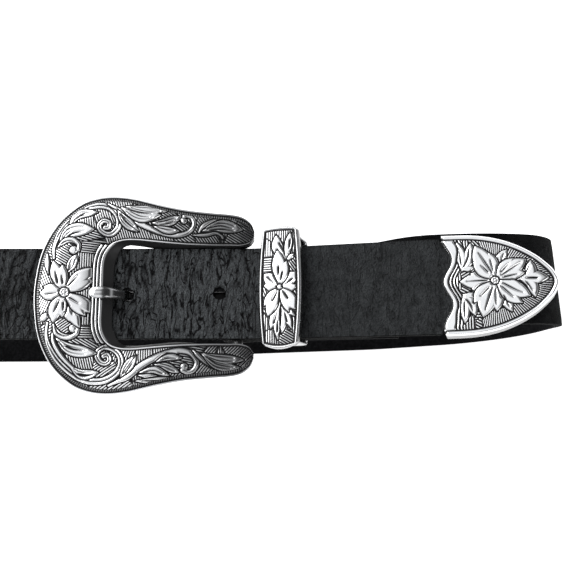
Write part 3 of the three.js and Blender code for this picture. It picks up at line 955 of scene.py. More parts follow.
# Ground lines of the C: where a patch lies, and the angle across its lines
FRAME_PATCHES = (
    (-16, 25, 10), (-9.5, 27.6, 20), (-15.5, 19.5, 75), (-15, 16.5, 85), (-15.5, 11.5, 0), (-23, 13.5, 60),
    (-29.5, 4, 25), (-2, 21, 15), (4, 20.5, 20), (10, 19.5, 15), (16, 23.8, 55), (26.5, 25.5, 35),
    (33, 26.3, 8), (38.5, 23, 60), (20, 28.5, 45), (-15.5, -25, 15), (-6.5, -26.8, -55), (-15, -17.5, 60),
    (-15, -13.5, 90), (-15, -8.5, 0), (-22, -10, -55), (-29, -4, -25), (0, -21, -15), (6, -21.5, 5),
    (12, -19.3, 10), (20.5, -23, 80), (26, -26, -40), (33, -27, 5), (39, -23.5, -45), (20, -28, -40),
)

# Strokes of each of the C's forms, from the lowest to the topmost
FRAME_GROUPS = (
    # scroll stems
    [grooved(stem(2.1, (-25.9, 12.1), (-26.2, 15.6), (-25.4, 18.8), (-24.1, 21.8), (-21.9, 24.8),
          (-19.1, 27.5), (-16.1, 29.6), (-12.7, 30.7), (-9.6, 30.7), (-6.7, 29.5), (-4.6, 27), (-3.9, 24.5),
          (-4.7, 22.2), (-6.5, 20.7), (-8.5, 20.7), (-10.3, 22), (-10.6, 23.9), (-9.1, 25.2), (-7.4, 24.5),
          (-7.5, 22.9), (-8.7, 22.7)))],
    [grooved(stem(2.1, (-27, -10.3), (-27.3, -13.7), (-26.7, -16.8), (-25.1, -19.8), (-22.9, -22.8),
          (-20, -25.6), (-16.5, -28.1), (-12.9, -29.6), (-8.8, -29.9), (-5.6, -29.1), (-3, -27.3),
          (-1.6, -24.8), (-1.7, -22.3), (-3, -20.2), (-5.4, -18.7), (-7.8, -18.5), (-9.4, -19.8),
          (-9.5, -21.8), (-8.2, -23.6), (-6.4, -23.9), (-5.4, -22.6), (-6.3, -21), (-7.4, -21.5)))],
    # upper corner leaves and curl
    [leaf(2.9, (-21.6, 22.6), (-18.3, 27.4), (-11.3, 28.3))],
    [leaf(4.7, (-24.6, 16.8), (-20.4, 21.6), (-12.4, 22.2))],
    [stem(1.7, (-24.5, 16.1), (-22.9, 17.7), (-20.9, 18.5), (-18.9, 18.1), (-17.4, 16.7), (-17.5, 14.9)),
     ball(2.6, -19.2, 14.8)],
    # lower corner leaves and curl
    [stem(1.3, (-24.8, -12), (-24.6, -16.5), (-22, -21), (-18, -25), (-15.5, -26.4)),
     leaf(3, (-18.6, -25), (-14.2, -27.6), (-8.7, -26.9))],
    [leaf(3.9, (-23.8, -15.4), (-18.6, -19.2), (-9.8, -20.6))],
    [stem(1.8, (-24.8, -10.8), (-23.6, -13.5), (-21.3, -14.9), (-18.9, -15.1), (-16.9, -14),
          (-16.4, -12.3)), ball(2.4, -18.1, -12.2)],
    # side leaves by the flower
    [leaf(2, (-27.6, 6.4), (-28.9, 14.4))],
    [leaf(2.2, (-25.9, -6.6), (-30.2, -9.6))],
    [leaf(2.9, (-21, 6.6), (-18, 13.3))],
    # upper arm
    [stem(1.7, (-8, 31.3), (-4.3, 29.2), (-1.4, 27), (1.7, 25), (4.8, 23.4), (8.2, 22), (11.7, 20.9),
          (15.2, 20.3), (18.3, 20.7), (20.6, 22), (21.7, 24), (21.3, 26), (20, 27.2), (18.3, 27.2),
          (17.4, 26.2)), ball(1.9, 18.3, 25.4)],
    [grooved(leaf(3.3, (-4.6, 29), (-1.8, 25), (2.8, 21.5)))],
    [leaf(4.2, (-3.6, 30), (3, 27), (10.4, 27.3)), leaf(2.8, (-2, 30.4), (5, 29.4), (13.2, 29.2))],
    [leaf(3.1, (7.4, 24.4), (12.4, 24.8), (17.3, 27))],
    [leaf(2.2, (8, 23.2), (12.5, 22), (16.8, 21.8))],
    [stem(1.3, (23.4, 21.4), (24.6, 23.4), (27, 25), (30, 25.7), (36, 25.6))],
    [leaf(4.4, (24.6, 21.9), (31, 23.8), (38.6, 22.5))],
    [stem(1, (21.8, 20.4), (26, 20.6), (29.2, 21.3), (31.2, 20.4), (31.6, 19.6))],
    # lower arm
    [stem(2, (-5.5, -31.3), (-2.9, -30.1), (0.4, -28.7), (2.7, -26.8), (4.9, -25), (7.9, -23),
          (11.3, -21.3), (15, -20), (18.4, -19.5), (21.3, -20.2), (23.2, -22.2), (23.6, -24.3),
          (22.5, -26.1), (20.6, -26.8), (18.9, -26.2)), ball(2.3, 19.5, -25)],
    [grooved(leaf(3.1, (-1.6, -28.6), (1, -24.8), (3.4, -21.2)))],
    [leaf(2.1, (10.2, -23.4), (14, -21.8), (18.8, -22))],
    [leaf(2.4, (9.6, -24.3), (13.6, -25), (17.8, -26.8))],
    [leaf(2.2, (4.6, -27), (9.6, -26), (14.6, -28)), leaf(1.5, (4.3, -27.9), (11, -28.3))],
    [leaf(2, (3.2, -29.8), (10, -29.6), (17.6, -28.8))],
    [stem(1.2, (22.3, -19.4), (25, -22.1), (28.8, -24.9))],
    [leaf(3, (25.2, -20.6), (30.4, -24.2), (38.4, -25.4)),
     leaf(3, (25.4, -20.4), (31, -22.2), (39.4, -22.6))],
    # flower
    [petal(4.7, (-21.6, 0.2), (-30.4, -0.2)), petal(3, (-21.6, 0.2), (-25.4, 1.4), (-29, 2.2))],
    [petal(4.2, (-21.9, 0.6), (-24.4, 6), (-26.1, 11.2)),
     petal(3.6, (-21.9, 0.6), (-22.4, 5), (-22.7, 9.7))],
    [petal(4.8, (-21.4, 0.4), (-17.4, 4.6), (-11.2, 8.6)),
     petal(3.6, (-21.4, 0.4), (-17.2, 2.4), (-12.2, 4.4))],
    [petal(4, (-21.5, -0.4), (-19.6, -5.4), (-15.9, -11.9)),
     petal(3, (-21.5, -0.4), (-20.8, -5.4), (-19.4, -9.8))],
    [petal(4.6, (-21.9, -0.4), (-24.2, -4.8), (-25, -10.2)),
     petal(3.4, (-21.8, -0.4), (-22.3, -4.4), (-21.9, -8.4))],
    [petal(4.6, (-21.3, 0), (-17, -2.8), (-10.6, -6.4)), petal(3.2, (-21.3, 0), (-18, -4), (-14.2, -7.8))],
)

# Graver's lines in the C's forms
FRAME_CUTS = (
    line(0.5, (-23.9, 3), (-24.9, 7.4)), line(0.55, (-20.6, 2.2), (-17.2, 6)),
    line(0.4, (-28.2, -0.4), (-23.8, 0)), line(0.5, (-23.1, -2.4), (-24.6, -6.6)),
    line(0.5, (-19.9, -1.5), (-16.4, -3.6)), line(0.45, (-22.1, 3), (-22.6, 6)),
    line(0.45, (-21.6, -3), (-21.4, -6)), line(0.4, (-20.6, 7.4), (-19.4, 10.6)),
    line(0.4, (-20.5, -2.8), (-18.2, -7.4)), line(0.45, (-19.6, 25.6), (-16, 27.9), (-13.6, 28.4)),
    line(0.4, (-24, 17.9), (-22.4, 20), (-20.4, 21.5)),
    line(0.5, (-21, 19.8), (-19.2, 20.9), (-16.8, 21.5)),
    line(0.9, (-16.2, -27.4), (-13, -27.9), (-10.2, -27.6)),
    line(0.75, (-20.4, -18), (-17.6, -19.2), (-14.2, -19.6)), line(0.4, (-23, -16.4), (-20.6, -18.8)),
    line(0.35, (-24, 16.6), (-21.8, 18), (-19.6, 17.8), (-18.3, 16.4)),
    line(0.4, (-24.2, -11.8), (-22.6, -14), (-20, -14.7), (-17.7, -13.6)),
    line(0.4, (-1, 29.4), (4, 28.2), (8.8, 28.2)), line(0.35, (0, 28.4), (3.2, 26.9), (6.4, 26.6)),
    line(0.3, (-3.4, 27.6), (-1.2, 24.8), (1.2, 22.8)), line(0.35, (9, 24.6), (12, 25.2), (15.6, 26.4)),
    line(0.3, (9.6, 24), (12.6, 24.3), (15.8, 25.4)), line(0.3, (9.4, 25.2), (12, 26), (15, 27)),
    line(0.35, (9.6, 22.9), (12.6, 22.2), (15, 22)), line(0.4, (26.2, 22.8), (30.6, 23.9), (35, 23)),
    line(0.3, (26.6, 22), (31, 22.6), (35.6, 22.2)), line(0.4, (0.2, -27.4), (1.6, -24.8), (2.6, -23)),
    line(0.35, (11.6, -22.9), (14.4, -22.1), (17, -22.2)),
    line(0.3, (10.8, -24.5), (13.6, -25.3), (16.6, -26.4)),
    line(0.3, (11.4, -23.9), (14.2, -24.5), (17, -25.6)),
    line(0.4, (6, -26.9), (9.6, -26.3), (12.6, -27.2)),
    line(0.35, (5.6, -29.7), (10.2, -29.4), (15.2, -28.9)),
    line(0.4, (26.8, -21.6), (30.6, -24), (36, -25)),
)

# Middle of the flower's button
FRAME_BUTTON = (-21.6, 0.2)

# Arrays that outline the frame or stand for one side of it, by name
Edges = dict[str, Array]


def ring_of_dots(middle: Pair, radius: float) -> list[Pair]:
    """Six points at 60 degrees from each other round a middle."""
    turns = np.arange(6) * np.pi / 3
    return [(middle[0] + radius * math.cos(q), middle[1] + radius * math.sin(q)) for q in turns]


@dataclass
class BuckleFrame:
    """C-shaped cast frame, its lugs and its bar.

    The edge of its face stands at edge_top on the left and arm_top at the arms' ends. flange is
    the slope of the inner flange, on the left and under the arms.
    """

    belt: Belt
    finish: Material
    side_shift: float = -0.6
    edge_top: float = 64.5
    arm_top: float = 62.8
    crown: float = 1.8
    relief: float = 0.6
    along: int = 868
    across: int = 92
    hatch_pitch: float = 0.8
    tick_pitch: float = 0.8
    split: float = 0.42
    milled: Pair = (0.62, 1.85)
    rails: Pair = (2.24, 1.12)
    milled_soot: float = 0.72
    rail_width: float = 0.56
    rails_reach: float = 17.0
    rounding: float = 0.16
    rounded: float = 0.2
    # Painted shade: blackening that grows towards the arms' ends, between the two shares of ends round the C
    end_painted_shade: float = 0.7
    ends: Pair = (0.45, 0.9)
    flange: Pair = (3.5, 1.4)
    # Blackening of the inner flange, the back and the outer wall; the flange's near black is painted shade
    wall_shade_and_soot: Triple = (0.96, 0.3, 0.5)
    lug_size: Pair = (6.4, 3.85)
    lug_y: float = 18.88
    lug_top: float = 60.0
    bar_half: float = 17.6
    bar_x: float = 36.5
    bar_level: float = 52.85
    bar_radius: float = 1.9

    def outline(self) -> Edges:
        """Edges and underside of the C, row by row.

        Each column of the table, mirrored for the other side, is a Catmull-Rom curve. Rows lie
        closer where the outer edge is longer and the C wider, so that the mesh is as fine there.

        Returns:
            An array for each column of the table, how far round the C each row is from -1 to 1,
            and its distance along the outer edge.
        """
        half = np.array(FRAME_ROWS)
        other = half[:0:-1] * np.array([1, -1, 1, -1, 1])
        dense = through(np.vstack([other, half]), np.linspace(0, 1, 4000))
        outer_step = np.linalg.norm(np.diff(dense[:, 0:2], axis=0), axis=1)
        middle_step = np.linalg.norm(np.diff((dense[:, 0:2] + dense[:, 2:4]) / 2, axis=0), axis=1)
        width = np.linalg.norm(dense[1:, 0:2] - dense[1:, 2:4], axis=1)
        wanted = (outer_step + middle_step) * np.sqrt(width)
        steps = (wanted, middle_step, outer_step)
        count, middle, outer = (np.concatenate([[0.0], np.cumsum(step)]) for step in steps)
        at = np.linspace(0, count[-1], self.along)
        columns = {name: np.interp(at, count, dense[:, i]) for i, name in enumerate(FRAME_COLUMNS)}
        columns["round"] = np.interp(at, count, 2 * middle / middle[-1] - 1)
        columns["reach"] = np.interp(at, count, outer)
        return columns

    def face(self, edges: Edges) -> tuple[Array, Relief]:
        """Ornamented top of the C.

        A point at share t across lies at outer (1 - t) + inner t, at a height of edge level
        + crown (1 - (2t - 1)^2) + relief. The crown is lower where the C is under 14 mm wide.

        Args:
            edges: The outline.

        Returns:
            Points of shape along, across, 3 and their relief.
        """
        t = np.linspace(0, 1, self.across)[None, :]
        x = edges["ox"][:, None] * (1 - t) + edges["ix"][:, None] * t
        y = edges["oy"][:, None] * (1 - t) + edges["iy"][:, None] * t
        width = np.hypot(edges["ox"] - edges["ix"], edges["oy"] - edges["iy"])[:, None]
        outer, inner = t * width, (1 - t) * width
        along_arm = smooth(0.45, 1.0, np.abs(edges["round"]))[:, None]
        level = self.edge_top + (self.arm_top - self.edge_top) * along_arm
        crown = self.crown * np.minimum(1, width / 14) ** 2.2 * (1 - (2 * t - 1) ** 2)
        relief = self.ornament(x, y, outer, inner, edges)
        rounding = self.rounding * (smooth(self.rounded, 0.0, outer) + smooth(self.rounded, 0.0, inner))
        z = level + crown + self.relief * relief.height().reshape(x.shape) - rounding
        return np.stack([x, y, z], axis=-1), relief

    def ornament(self, x: Array, y: Array, outer: Array, inner: Array, edges: Edges) -> Relief:
        """Ground lines, scrolls, leaves, flower, milled band and rails.

        Args:
            x: First coordinate of each point.
            y: Second coordinate of each point.
            outer: Distance from the outer edge.
            inner: Distance from the inner edge.
            edges: The outline.

        Returns:
            The carved relief.
        """
        relief = Relief(x.ravel(), y.ravel())
        relief.hatch(np.array(FRAME_PATCHES), self.hatch_pitch)
        for strokes in FRAME_GROUPS:
            relief.raise_group(strokes)
            relief.flute(strokes)
            relief.cut([Stroke(s.points, self.split, StrokeShape.STEM) for s in strokes if s.grooved])
        relief.cut(list(FRAME_CUTS))
        relief.raise_group([ball(3.0, *FRAME_BUTTON)])
        relief.cut([ball(0.45, *spot) for spot in ring_of_dots(FRAME_BUTTON, 0.8)])
        outer, inner = outer.ravel(), inner.ravel()
        start, stop = self.milled
        relief.keep_off(outer - stop - 0.15)
        ticks = np.repeat(edges["reach"], self.across) / self.tick_pitch
        relief.mill(np.minimum(outer - start, stop - outer), ticks, self.milled_soot)
        # Painted shade: blacker towards the arms' ends, in place of the dim light that they reflect
        painted_shade_at_ends = smooth(*self.ends, np.repeat(np.abs(edges["round"]), self.across))
        relief.soot = np.maximum(relief.soot, self.end_painted_shade * painted_shade_at_ends)
        relief.band(outer, -0.3, start - 0.1)
        on_left = np.where(relief.x < 0, self.rails_reach - np.abs(relief.y), -Relief.FAR)
        for rail in self.rails:
            relief.band(inner, rail, rail + self.rail_width, on_left)
        relief.band(inner, -0.3, self.rail_width)
        return relief

    def walls(self, edges: Edges, face: Array) -> list[Array]:
        """Sides and back of the C, from the face's inner edge round to its outer edge.

        The flange slopes in from the inner edge by its slope times the share of the drop. The
        back is flat. The wall stands off from it as the 0.4th power of its height.

        Args:
            edges: The outline.
            face: Points of the face.

        Returns:
            Points of the inner flange, of the back and of the outer wall.
        """
        under = edges["under"][:, None]
        outer_edge = np.stack([edges["ox"], edges["oy"]], axis=1)
        inward = np.stack([edges["ix"], edges["iy"]], axis=1) - outer_edge
        inward /= np.linalg.norm(inward, axis=1)[:, None]
        on_left = smooth(0.75, 0.35, np.abs(inward[:, 1]))
        slope = self.flange[1] + (self.flange[0] - self.flange[1]) * on_left
        slope = (slope * smooth(30.0, 14.0, edges["ix"]))[:, None, None]
        drop = np.linspace(0.12, 1, 7)[None, :, None]
        rim = face[:, -1:, :]
        flange_xy = rim[..., :2] + inward[:, None] * slope * drop
        flange_z = rim[..., 2] + (under + 0.5 - rim[..., 2]) * drop[..., 0] ** 0.8
        back = np.linspace(0, 1, 7)[None, :, None]
        back_xy = flange_xy[:, -1:] * (1 - back) + (outer_edge + 0.3 * inward)[:, None] * back
        rise = np.linspace(0.12, 0.9, 5)[None, :, None]
        wall_xy = back_xy[:, -1:] * (1 - rise**0.4) + face[:, :1, :2] * rise**0.4
        wall_z = under * (1 - rise[..., 0]) + face[:, :1, 2] * rise[..., 0]
        levels = (flange_z, np.broadcast_to(under, back_xy.shape[:2]), wall_z)
        return [np.concatenate([xy, z[..., None]], axis=-1)
                for xy, z in zip((flange_xy, back_xy, wall_xy), levels)]

    def build(self) -> Object:
        """Skins the C in rings over its face, flange, back and wall, and adds lugs and bar.

        Returns:
            The frame's object.
        """
        edges = self.outline()
        face, relief = self.face(edges)
        walls = self.walls(edges, face)
        rings = np.concatenate([face, *walls], axis=1)
        rings[..., 1] += self.side_shift
        # The walls' blackening: painted shade on the flange, less on the back and the outer wall
        tail = [(part.shape[1], soot) for part, soot in zip(walls, self.wall_shade_and_soot)]
        marks = relief.marks(face.shape[:2], tail)
        frame = make_piece("buckle_casting", self.belt.place(rings), self.finish, marks)
        frame = join_pieces([frame, self.lug(1), self.lug(-1), self.bar()])
        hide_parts("buckle_frame")
        return frame

    def lug(self, side: int) -> Object:
        """Rounded block from an arm's underside down to the bar: rounded sections up its height.

        Args:
            side: 1 for the upper arm, -1 for the lower.

        Returns:
            The lug's object.
        """
        section = rounded_section(*self.lug_size, 28)
        level = np.linspace(self.bar_level - self.bar_radius, self.lug_top, 14)
        taper = 0.82 + 0.18 * smooth(50.9, 53.4, level)
        x = self.bar_x + section[None, :, 0] * taper[:, None]
        y = side * self.lug_y + section[None, :, 1] + self.side_shift + 0 * taper[:, None]
        rings = self.belt.place(np.stack([x, y, np.broadcast_to(level[:, None], x.shape)], axis=-1))
        return make_piece("lug", rings, self.finish, plain_marks(x.shape, 0.6))

    def bar(self) -> Object:
        """Round bar between the lugs: circles along Y.

        Returns:
            The bar's object.
        """
        angle = np.linspace(0, 2 * np.pi, 32, endpoint=False)
        y = np.linspace(-self.bar_half, self.bar_half, 24)[:, None] + self.side_shift
        x = self.bar_x + self.bar_radius * np.cos(angle)[None, :] + 0 * y
        z = self.bar_level + self.bar_radius * np.sin(angle)[None, :] + 0 * y
        rings = self.belt.place(np.stack([x, y + 0 * x, z], axis=-1))
        return make_piece("bar", rings, self.finish, plain_marks(x.shape, 0.8))


# Middle line of the prong from its ring to its tip, and its width there
PRONG_ROWS = (
    (34.6, 55.9, 4), (30, 56.5, 3.6), (18, 56.7, 3.3), (8, 56.8, 3.2), (2.6, 56.9, 3.2), (-0.2, 57.7, 3.2),
    (-1.9, 59.8, 3.3), (-3.2, 62.2, 3.4), (-4.9, 64.6, 3.6), (-6.6, 66.3, 3.9), (-8.4, 67.15, 4.1),
    (-11, 67.2, 4.2), (-13.1, 66.7, 3.8),
)


@dataclass
class Prong:
    """Prong with its ring round the bar."""

    belt: Belt
    finish: Material
    frame: BuckleFrame
    thickness: float = 1.95
    ring_inside: float = 2.25
    ring_wall: float = 1.2
    ring_width: float = 4.0
    # Where the shank turns black, its two black lines, and the places of its painted highlight edges and
    # painted glints
    darkens: Pair = (-9.6, -7.8)
    grooves: Pair = (-0.16, 0.14)
    painted_highlight_edges: Pair = (-0.36, 0.3)
    painted_glints: Pair = (-6.3, -2.4)

    def shank(self) -> Object:
        """Rounded sections along the middle line, which end in a blunt tip.

        Returns:
            The shank's object.
        """
        line_points = evenly(through(np.array(PRONG_ROWS), np.linspace(0, 1, 400)), 150)
        way = np.gradient(line_points[:, :2], axis=0)
        way /= np.linalg.norm(way, axis=1)[:, None]
        up = np.stack([way[:, 1], -way[:, 0]], axis=1)
        section = rounded_section(1.0, 1.0, 32, 3.6)
        blunt = np.sqrt(np.clip(1 - np.linspace(0, 1, 150) ** 40, 0.05, 1))[:, None]
        width = line_points[:, 2:3] * section[None, :, 0] * blunt
        lift = self.thickness * section[None, :, 1] * blunt
        x = line_points[:, 0:1] + up[:, 0:1] * lift
        z = line_points[:, 1:2] + up[:, 1:2] * lift
        rings = np.stack([x, width + self.frame.side_shift, z], axis=-1)
        shade = self.shade(line_points[:, 0:1], section[None, :, 0])
        return make_piece("prong_bar", self.belt.place(rings), self.finish,
                          plain_marks(x.shape, shade))

    def shade(self, along: Array, w: Array) -> Array:
        """Darkness of the shank: a bright point with two black lines, then black with painted highlights
        along its edges, and painted shade where it goes under the strap.

        Each line is a Gaussian across the prong, and the two painted glints are Gaussians along it.

        Args:
            along: Place along the belt.
            w: Place across, from -0.5 to 0.5.

        Returns:
            Darkness of each point, from 0 to 1.
        """
        black = smooth(*self.darkens, along)
        grooves = sum(np.exp(-(((w - at) / 0.07) ** 2)) for at in self.grooves) * smooth(-12.4, -11.6, along)
        # Painted highlights: bright lines along both edges, and two glints
        edges = sum(np.exp(-(((w - at) / 0.05) ** 2)) for at in self.painted_highlight_edges)
        painted_glints = sum(np.exp(-(((along - at) / 0.4) ** 2)) for at in self.painted_glints) * smooth(0.5, 0.2, np.abs(w))
        point = 0.1 + 0.8 * grooves
        shank = 0.95 - 0.9 * edges - 0.9 * painted_glints
        # Painted shade: black where the shank goes down under the strap
        deep = smooth(-2.0, 0.5, along)
        return np.clip((point * (1 - black) + shank * black) * (1 - deep) + deep, 0, 1)

    def ring(self) -> Object:
        """Rounded section turned round the bar's axis, closed on itself.

        Returns:
            The ring's object.
        """
        section = rounded_section(self.ring_width, self.ring_wall, 20)
        angle = np.linspace(0, 2 * np.pi, 49)[:, None]
        reach = self.ring_inside + self.ring_wall / 2 + section[None, :, 1]
        x = self.frame.bar_x + reach * np.cos(angle)
        z = self.frame.bar_level + reach * np.sin(angle)
        y = self.frame.side_shift + section[None, :, 0] + 0 * angle
        rings = self.belt.place(np.stack([x, y, z], axis=-1))
        return make_piece("prong_ring", rings, self.finish, plain_marks(x.shape, 0.8))

    def build(self) -> Object:
        """Joins shank and ring.

        Returns:
            The prong's object.
        """
        prong = join_pieces([self.shank(), self.ring()])
        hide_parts("prong")
        return prong


# Strap


def arc(radius: float, turn: float) -> Pair:
    """Length and turn of a stretch that bends with a radius, for its turn in degrees."""
    return radius * abs(math.radians(turn)), turn


@dataclass
class StrapWay:
    """The strap's middle line: stretches of even curvature, each a length and a turn."""

    spacing: float = 0.1

    def walk(self, start: Pair, heading: float, stretches: list[Pair]) -> Array:
        """Follows stretches from a start.

        x and z are the running sums of cos and sin of the heading, which turns evenly along each
        stretch.

        Args:
            start: First x and z.
            heading: First heading in degrees.
            stretches: Length and turn in degrees of each.

        Returns:
            Rows of x, z and heading.
        """
        counts = [max(1, round(length / self.spacing)) for length, _ in stretches]
        lengths, bends = np.array(stretches, float).T / counts
        steps, turn = np.repeat(lengths, counts), np.repeat(bends, counts)
        before = heading + np.concatenate([[0.0], np.cumsum(turn)])
        middle = np.radians(before[:-1] + turn / 2)
        x = start[0] + np.concatenate([[0.0], np.cumsum(steps * np.cos(middle))])
        z = start[1] + np.concatenate([[0.0], np.cumsum(steps * np.sin(middle))])
        return np.stack([x, z, before], axis=1)


@dataclass
class Strap:
    """The whole leather strap, from its turned-back end to its end in the metal tip.

    The leather in the tip is shorter than the tip by the two lengths of short_of_tip.
    """

    belt: Belt
    finish: Material
    inside_finish: Material
    width: float = 32.0
    thickness: float = 3.0
    bar: Pair = (36.5, 52.85)
    fold_radius: float = 3.75
    left_bend_x: float = -198.0
    tip_starts_u: float = 59.6
    tip_length: float = 35.8
    tip_leather: float = 2.4
    short_of_tip: Pair = (2.4, 1.05)
    cap_wall: float = 1.55
    hole_diameter: float = 4.3
    hole_pitch: float = 30.5
    prong_play: float = 0.25
    slot: Pair = (15.0, 5.6)
    slot_levels: Pair = (43.8, 58.3)
    prong_aside: float = -0.6
    face_points: int = 61
    back_points: int = 9
    edge_bulge: float = 0.4

    def in_cap(self) -> float:
        """Length of the leather inside the metal tip."""
        return self.tip_length - self.short_of_tip[0] - self.short_of_tip[1]

    def stretches(self) -> tuple[Array, Array]:
        """The way from the turned-back end round the loop to the tip's end.

        Returns:
            Rows of x, z and heading, and rows of length, sideways place and lean.
        """
        belt, rise = self.belt, math.degrees(self.belt.RISE)
        way = StrapWay()
        start = (self.bar[0], belt.TOP_LEVEL - belt.LAYER)
        free = [(belt.RISE_STARTS_X - start[0], 0.0), arc(belt.RISE_RADIUS + belt.LAYER, rise),
                (35.2, 0.0), arc(70, -rise), arc(98, -25), arc(26, -75)]
        so_far = way.walk(start, 0.0, free)
        heading, floor = so_far[-1, 2], self.thickness / 2
        landing = (so_far[-1, 1] - floor) / (1 + math.cos(math.radians(heading)))
        landed = so_far[-1, 0] - landing * math.sin(math.radians(-heading))
        floor_marks = [89.0, 43.0, -46.0, self.left_bend_x]
        runs = [abs(b - a) for a, b in zip([landed] + floor_marks, floor_marks)]
        bend = (belt.TOP_LEVEL - floor) / 2
        rest = [arc(landing, -180 - heading), *((run, 0.0) for run in runs), arc(bend, -180),
                (belt.RISE_STARTS_X - self.left_bend_x, 0.0), arc(belt.RISE_RADIUS, rise),
                (self.tip_starts_u - 0.35, 0.0), (self.in_cap(), 0.0)]
        front = way.walk(start, 0.0, free + rest)
        aside = [0, 0, 0, 0, 2.8, 5.6, 7.2, 3.4, 1.4, -0.2, -3.6, -4.4, 0, 0, 0, 0, 0]
        lean = [0, 0, 0, 0, 0, -3, -4.6, -2, 0, 0, 0, 0, 0, 0, 0, 0, 0]
        marks = np.concatenate([[0.0], np.cumsum([length for length, _ in free + rest])])
        reach = self.reach_of(front)
        window = np.ones(121) / 121
        eased = [np.convolve(np.pad(np.interp(reach, marks, values), 60, mode="edge"), window, mode="valid")
                 for values in (aside, lean)]
        sideways = np.stack([reach, *eased], axis=1)
        fold = self.fold(way, start, rise)
        turned = fold[:0:-1].copy()
        turned[:, 2] -= 180
        back_reach = self.reach_of(fold)[:0:-1]
        none = np.zeros(len(turned))
        sideways = np.vstack([np.stack([-back_reach, none, none], axis=1), sideways])
        return np.vstack([turned, front]), sideways

    @staticmethod
    def reach_of(way: Array) -> Array:
        """Distance of each row from the first."""
        steps = np.linalg.norm(np.diff(way[:, :2], axis=0), axis=1)
        return np.concatenate([[0.0], np.cumsum(steps)])

    def fold(self, way: StrapWay, start: Pair, rise: float) -> Array:
        """Round the bar and up against the buckle end's underside.

        Args:
            way: Walker.
            start: Top of the fold.
            rise: The rise in degrees.

        Returns:
            Rows of x, z, heading.
        """
        approach, settle = 30.0, 15.0
        round_bar = (self.fold_radius * math.radians(180 + approach), 180 + approach)
        end = way.walk(start, 180.0, [round_bar])[-1]
        above = ((end[1] - self.belt.rise_z) * math.cos(self.belt.RISE)
                 - (end[0] - self.belt.rise_x) * math.sin(self.belt.RISE))
        steep = math.radians(approach - rise)
        climb = -2 * self.belt.LAYER - above - settle * (1 - math.cos(steep))
        lower = [(climb / math.sin(steep), 0.0), (settle * steep, rise - approach), (45.0, 0.0)]
        return way.walk(start, 180.0, [round_bar, *lower])

    def wrinkles(self, x: Array, v: Array, front: Array) -> tuple[Array, dict[str, Array]]:
        """Height of the leather's wrinkles, in millimetres, and the finish's marks.

        Near the buckle, creases run across the strap about 1.2 mm apart. Left of it they are
        about 1.5 mm apart and softer. Towards the keeper and tip the leather is nearly smooth.

        Args:
            x: Distance along the belt.
            v: Distance across the strap.
            front: 1 on the front layer, 0 elsewhere.

        Returns:
            Heights, and how deep in a crease each point lies, which darkens it as painted shade, how creased
            it is, and how worn it is, with the front layer lighter as painted light.
        """
        fine, slow, warp = ValueNoise(11), ValueNoise(23), ValueNoise(37)
        wander = 1.6 * warp.at(x / 7 + 3, v / 7 + 5) + 0.5 * warp.at(x / 2.2, v / 2.4)
        close = fine.crease((x + wander) / 1.2, v / 8 + 0.2 * wander)
        close = np.maximum(close, 0.7 * fine.crease((x + 1.3 * wander) / 0.9 + 31, v / 5 + 17))
        loose = slow.crease((x + 1.5 * wander) / 1.5, v / 5.6 + 0.4 * wander) ** 0.4
        loose = np.maximum(loose, 0.6 * fine.crease((x + 1.2 * wander) / 0.9 + 57, v / 3.6 + 9))
        patchy = smooth(0.2, 0.6, warp.at(x / 5 + 40, v / 6 + 11))
        near = smooth(-24, -14, x) * (1 - smooth(30, 52, x))
        left = 1 - smooth(-32, -20, x)
        amount_near, amount_left = near * front, left * front
        quiet = 1 - np.clip(amount_near + amount_left, 0, 1)
        # Painted shade: the colour darkens along the creases
        crease = amount_near * close * (0.5 + 0.5 * patchy) + 0.5 * amount_left * loose + 0.15 * quiet * close
        swell = 0.14 * (slow.at((x + wander) / 1.5 + 7, v / 9) - 0.5) * (amount_near + 2.8 * amount_left)
        height = -0.22 * amount_near * close - 0.3 * amount_left * loose - 0.02 * quiet * close + swell
        creased = np.clip(0.16 * front + 0.9 * amount_near + 0.6 * amount_left, 0, 1)
        # Painted light: the front layer is lighter than the layers behind; near the buckle and left of it the
        # leather is also worn
        worn = 0.08 + 0.29 * front + 0.53 * amount_near + 0.22 * amount_left
        return height, {"crease": np.clip(crease, 0, 1), "creased": creased, "worn": worn}

    def section(self) -> Array:
        """Closed section: face, rounded burnished edge, back, other edge, in half units.

        Returns:
            Rows of across and out, in millimetres.
        """
        half, thick = self.width / 2, self.thickness / 2
        edge = np.linspace(0, np.pi, 11)[1:-1]
        flat = half - self.edge_bulge
        bulge = np.stack([flat + self.edge_bulge * np.sin(edge) ** 0.7, thick * np.cos(edge)], axis=1)
        face = np.linspace(-flat, flat, self.face_points)
        top = np.stack([face, np.full_like(face, thick) - 0.12 * smooth(13.0, half, np.abs(face))], axis=1)
        back = np.linspace(flat, -flat, self.back_points)
        bottom = np.stack([back, np.full_like(back, -thick)], axis=1)
        other = bulge[::-1] * np.array([-1, 1])
        return np.vstack([top, bulge, bottom, other])

    def rows_kept(self, way: Array, reach: Array) -> Array:
        """Rows dense where the leather is seen close and wrinkled, wider elsewhere.

        Args:
            way: Rows of x, z, heading.
            reach: Distance along.

        Returns:
            Indices of the rows to keep.
        """
        front = reach > 600
        step = np.full(len(way), 1.9)
        step = np.where(front & (way[:, 0] > -58) & (way[:, 0] < 62), 0.3, step)
        step = np.where(front & (way[:, 0] >= 62), 0.8, step)
        step = np.where(reach < 20, 0.7, step)
        count = np.floor(np.cumsum(np.diff(reach, prepend=reach[0]) / step)).astype(int)
        keep = np.nonzero(np.diff(count, prepend=-1) > 0)[0]
        return np.unique(np.concatenate([keep, [len(way) - 1]]))

